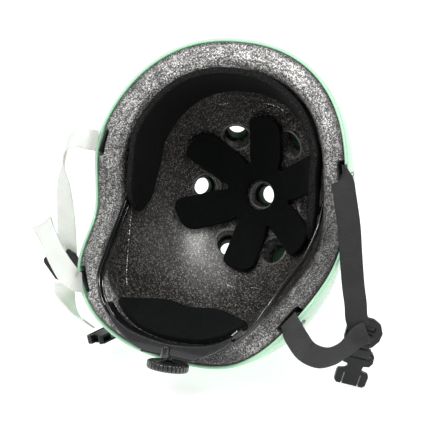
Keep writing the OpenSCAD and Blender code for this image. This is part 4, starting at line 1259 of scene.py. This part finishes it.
# the turned-in webbing that fills the slider's upper slot
cz, sz, cy, sy = math.cos(math.radians(25)), math.sin(math.radians(25)), math.cos(math.radians(20)), math.sin(math.radians(20))
TURN = np.array([[cz, -sz, 0], [sz, cz, 0], [0, 0, 1]]) @ np.array([[cy, 0, sy], [0, 1, 0], [-sy, 0, cy]])


def in_slider(p):
    p = np.asarray(p, float)
    # the prism's own length runs along the slot, its height through the plate
    return (TURN @ np.array([p[0], p[2], p[1] + 5.0]) + np.array([134.5, 9.8, -95.5])) / 1000.0


v, f = prism([(-9.55, -1.95), (9.55, -1.95), (9.55, 1.95), (-9.55, 1.95)], -1.3, 1.3, in_slider, 0.4, 2)
tuck = new_object("webbing_tuck_right", v, f, [M_WEB], angle=40)
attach(tuck, BODY_OF["slider_right"])

# ---------------------------------------------------------------- studio
floor_z = cad_box[0].z - 0.0003
bm = bmesh.new()
bmesh.ops.create_grid(bm, x_segments=24, y_segments=24, size=7.0)
fme = bpy.data.meshes.new("studio_floor")
bm.to_mesh(fme)
bm.free()
floor = bpy.data.objects.new("studio_floor", fme)
scene.collection.objects.link(floor)
floor.location = (0, 0, floor_z)
fmatr = Mat("studio_floor_white")
fmatr.set(color=fmatr.mix(fmatr.noise(fmatr.coords(), 3, 2), (0.50, 0.50, 0.50), (0.52, 0.52, 0.52)), rough=0.9, spec=0.05)
fmatr.b.inputs["Emission Color"].default_value = (1, 1, 1, 1)
fmatr.b.inputs["Emission Strength"].default_value = 0.72
fme.materials.append(fmatr.m)

w = bpy.data.worlds.new("studio_world")
scene.world = w
w.use_nodes = True
bg = w.node_tree.nodes["Background"]
bg.inputs[0].default_value = (1, 1, 1, 1)
bg.inputs[1].default_value = 0.70
seen = w.node_tree.nodes.new("ShaderNodeBackground")
seen.inputs[0].default_value = (1, 1, 1, 1)
seen.inputs[1].default_value = 1.0
rays = w.node_tree.nodes.new("ShaderNodeLightPath")
both = w.node_tree.nodes.new("ShaderNodeMixShader")
w.node_tree.links.new(rays.outputs["Is Camera Ray"], both.inputs[0])
dim = w.node_tree.nodes.new("ShaderNodeMath")
dim.operation = "MULTIPLY_ADD"
dim.inputs[1].default_value = -0.34
dim.inputs[2].default_value = 0.70
w.node_tree.links.new(rays.outputs["Is Glossy Ray"], dim.inputs[0])
w.node_tree.links.new(dim.outputs[0], bg.inputs[1])
w.node_tree.links.new(bg.outputs[0], both.inputs[1])
w.node_tree.links.new(seen.outputs[0], both.inputs[2])
w.node_tree.links.new(both.outputs[0], w.node_tree.nodes["World Output"].inputs[0])


def area(name, loc, target, size, power, size_y=None):
    d = bpy.data.lights.new(name, "AREA")
    d.energy = power
    d.size = size
    if size_y:
        d.shape = "RECTANGLE"
        d.size_y = size_y
    ob = bpy.data.objects.new(name, d)
    scene.collection.objects.link(ob)
    ob.location = loc
    ob.rotation_euler = (Vector(target) - Vector(loc)).to_track_quat("-Z", "Y").to_euler()
    return ob


area("softbox_key", (-0.5, -1.1, 1.3), (0, 0, 0), 0.9, 16)
area("softbox_right", (1.4, -0.5, 0.8), (0, 0, 0), 0.8, 0.9)
area("softbox_back", (0.1, 1.3, 1.1), (0, 0, 0), 1.0, 8)

spot = np.array([-32.0, 48.0, float(dome_at(-32.0, 48.0, CX, CY, CH))])
e = 0.05
nrm = -np.array([level(spot + np.eye(3)[i] * e, CX, CY, CH) - level(spot - np.eye(3)[i] * e, CX, CY, CH) for i in range(3)])
nrm = world(nrm * 1000.0)
nrm = nrm / np.linalg.norm(nrm)
P = world(spot)
vdir = np.array(cam.location[:]) - P
vdir = vdir / np.linalg.norm(vdir)
refl = 2 * float(nrm @ vdir) * nrm - vdir
at = P + refl * 1.0
area("softbox_fill", tuple(float(x) for x in at), tuple(float(x) for x in P), 0.22, 2.6)
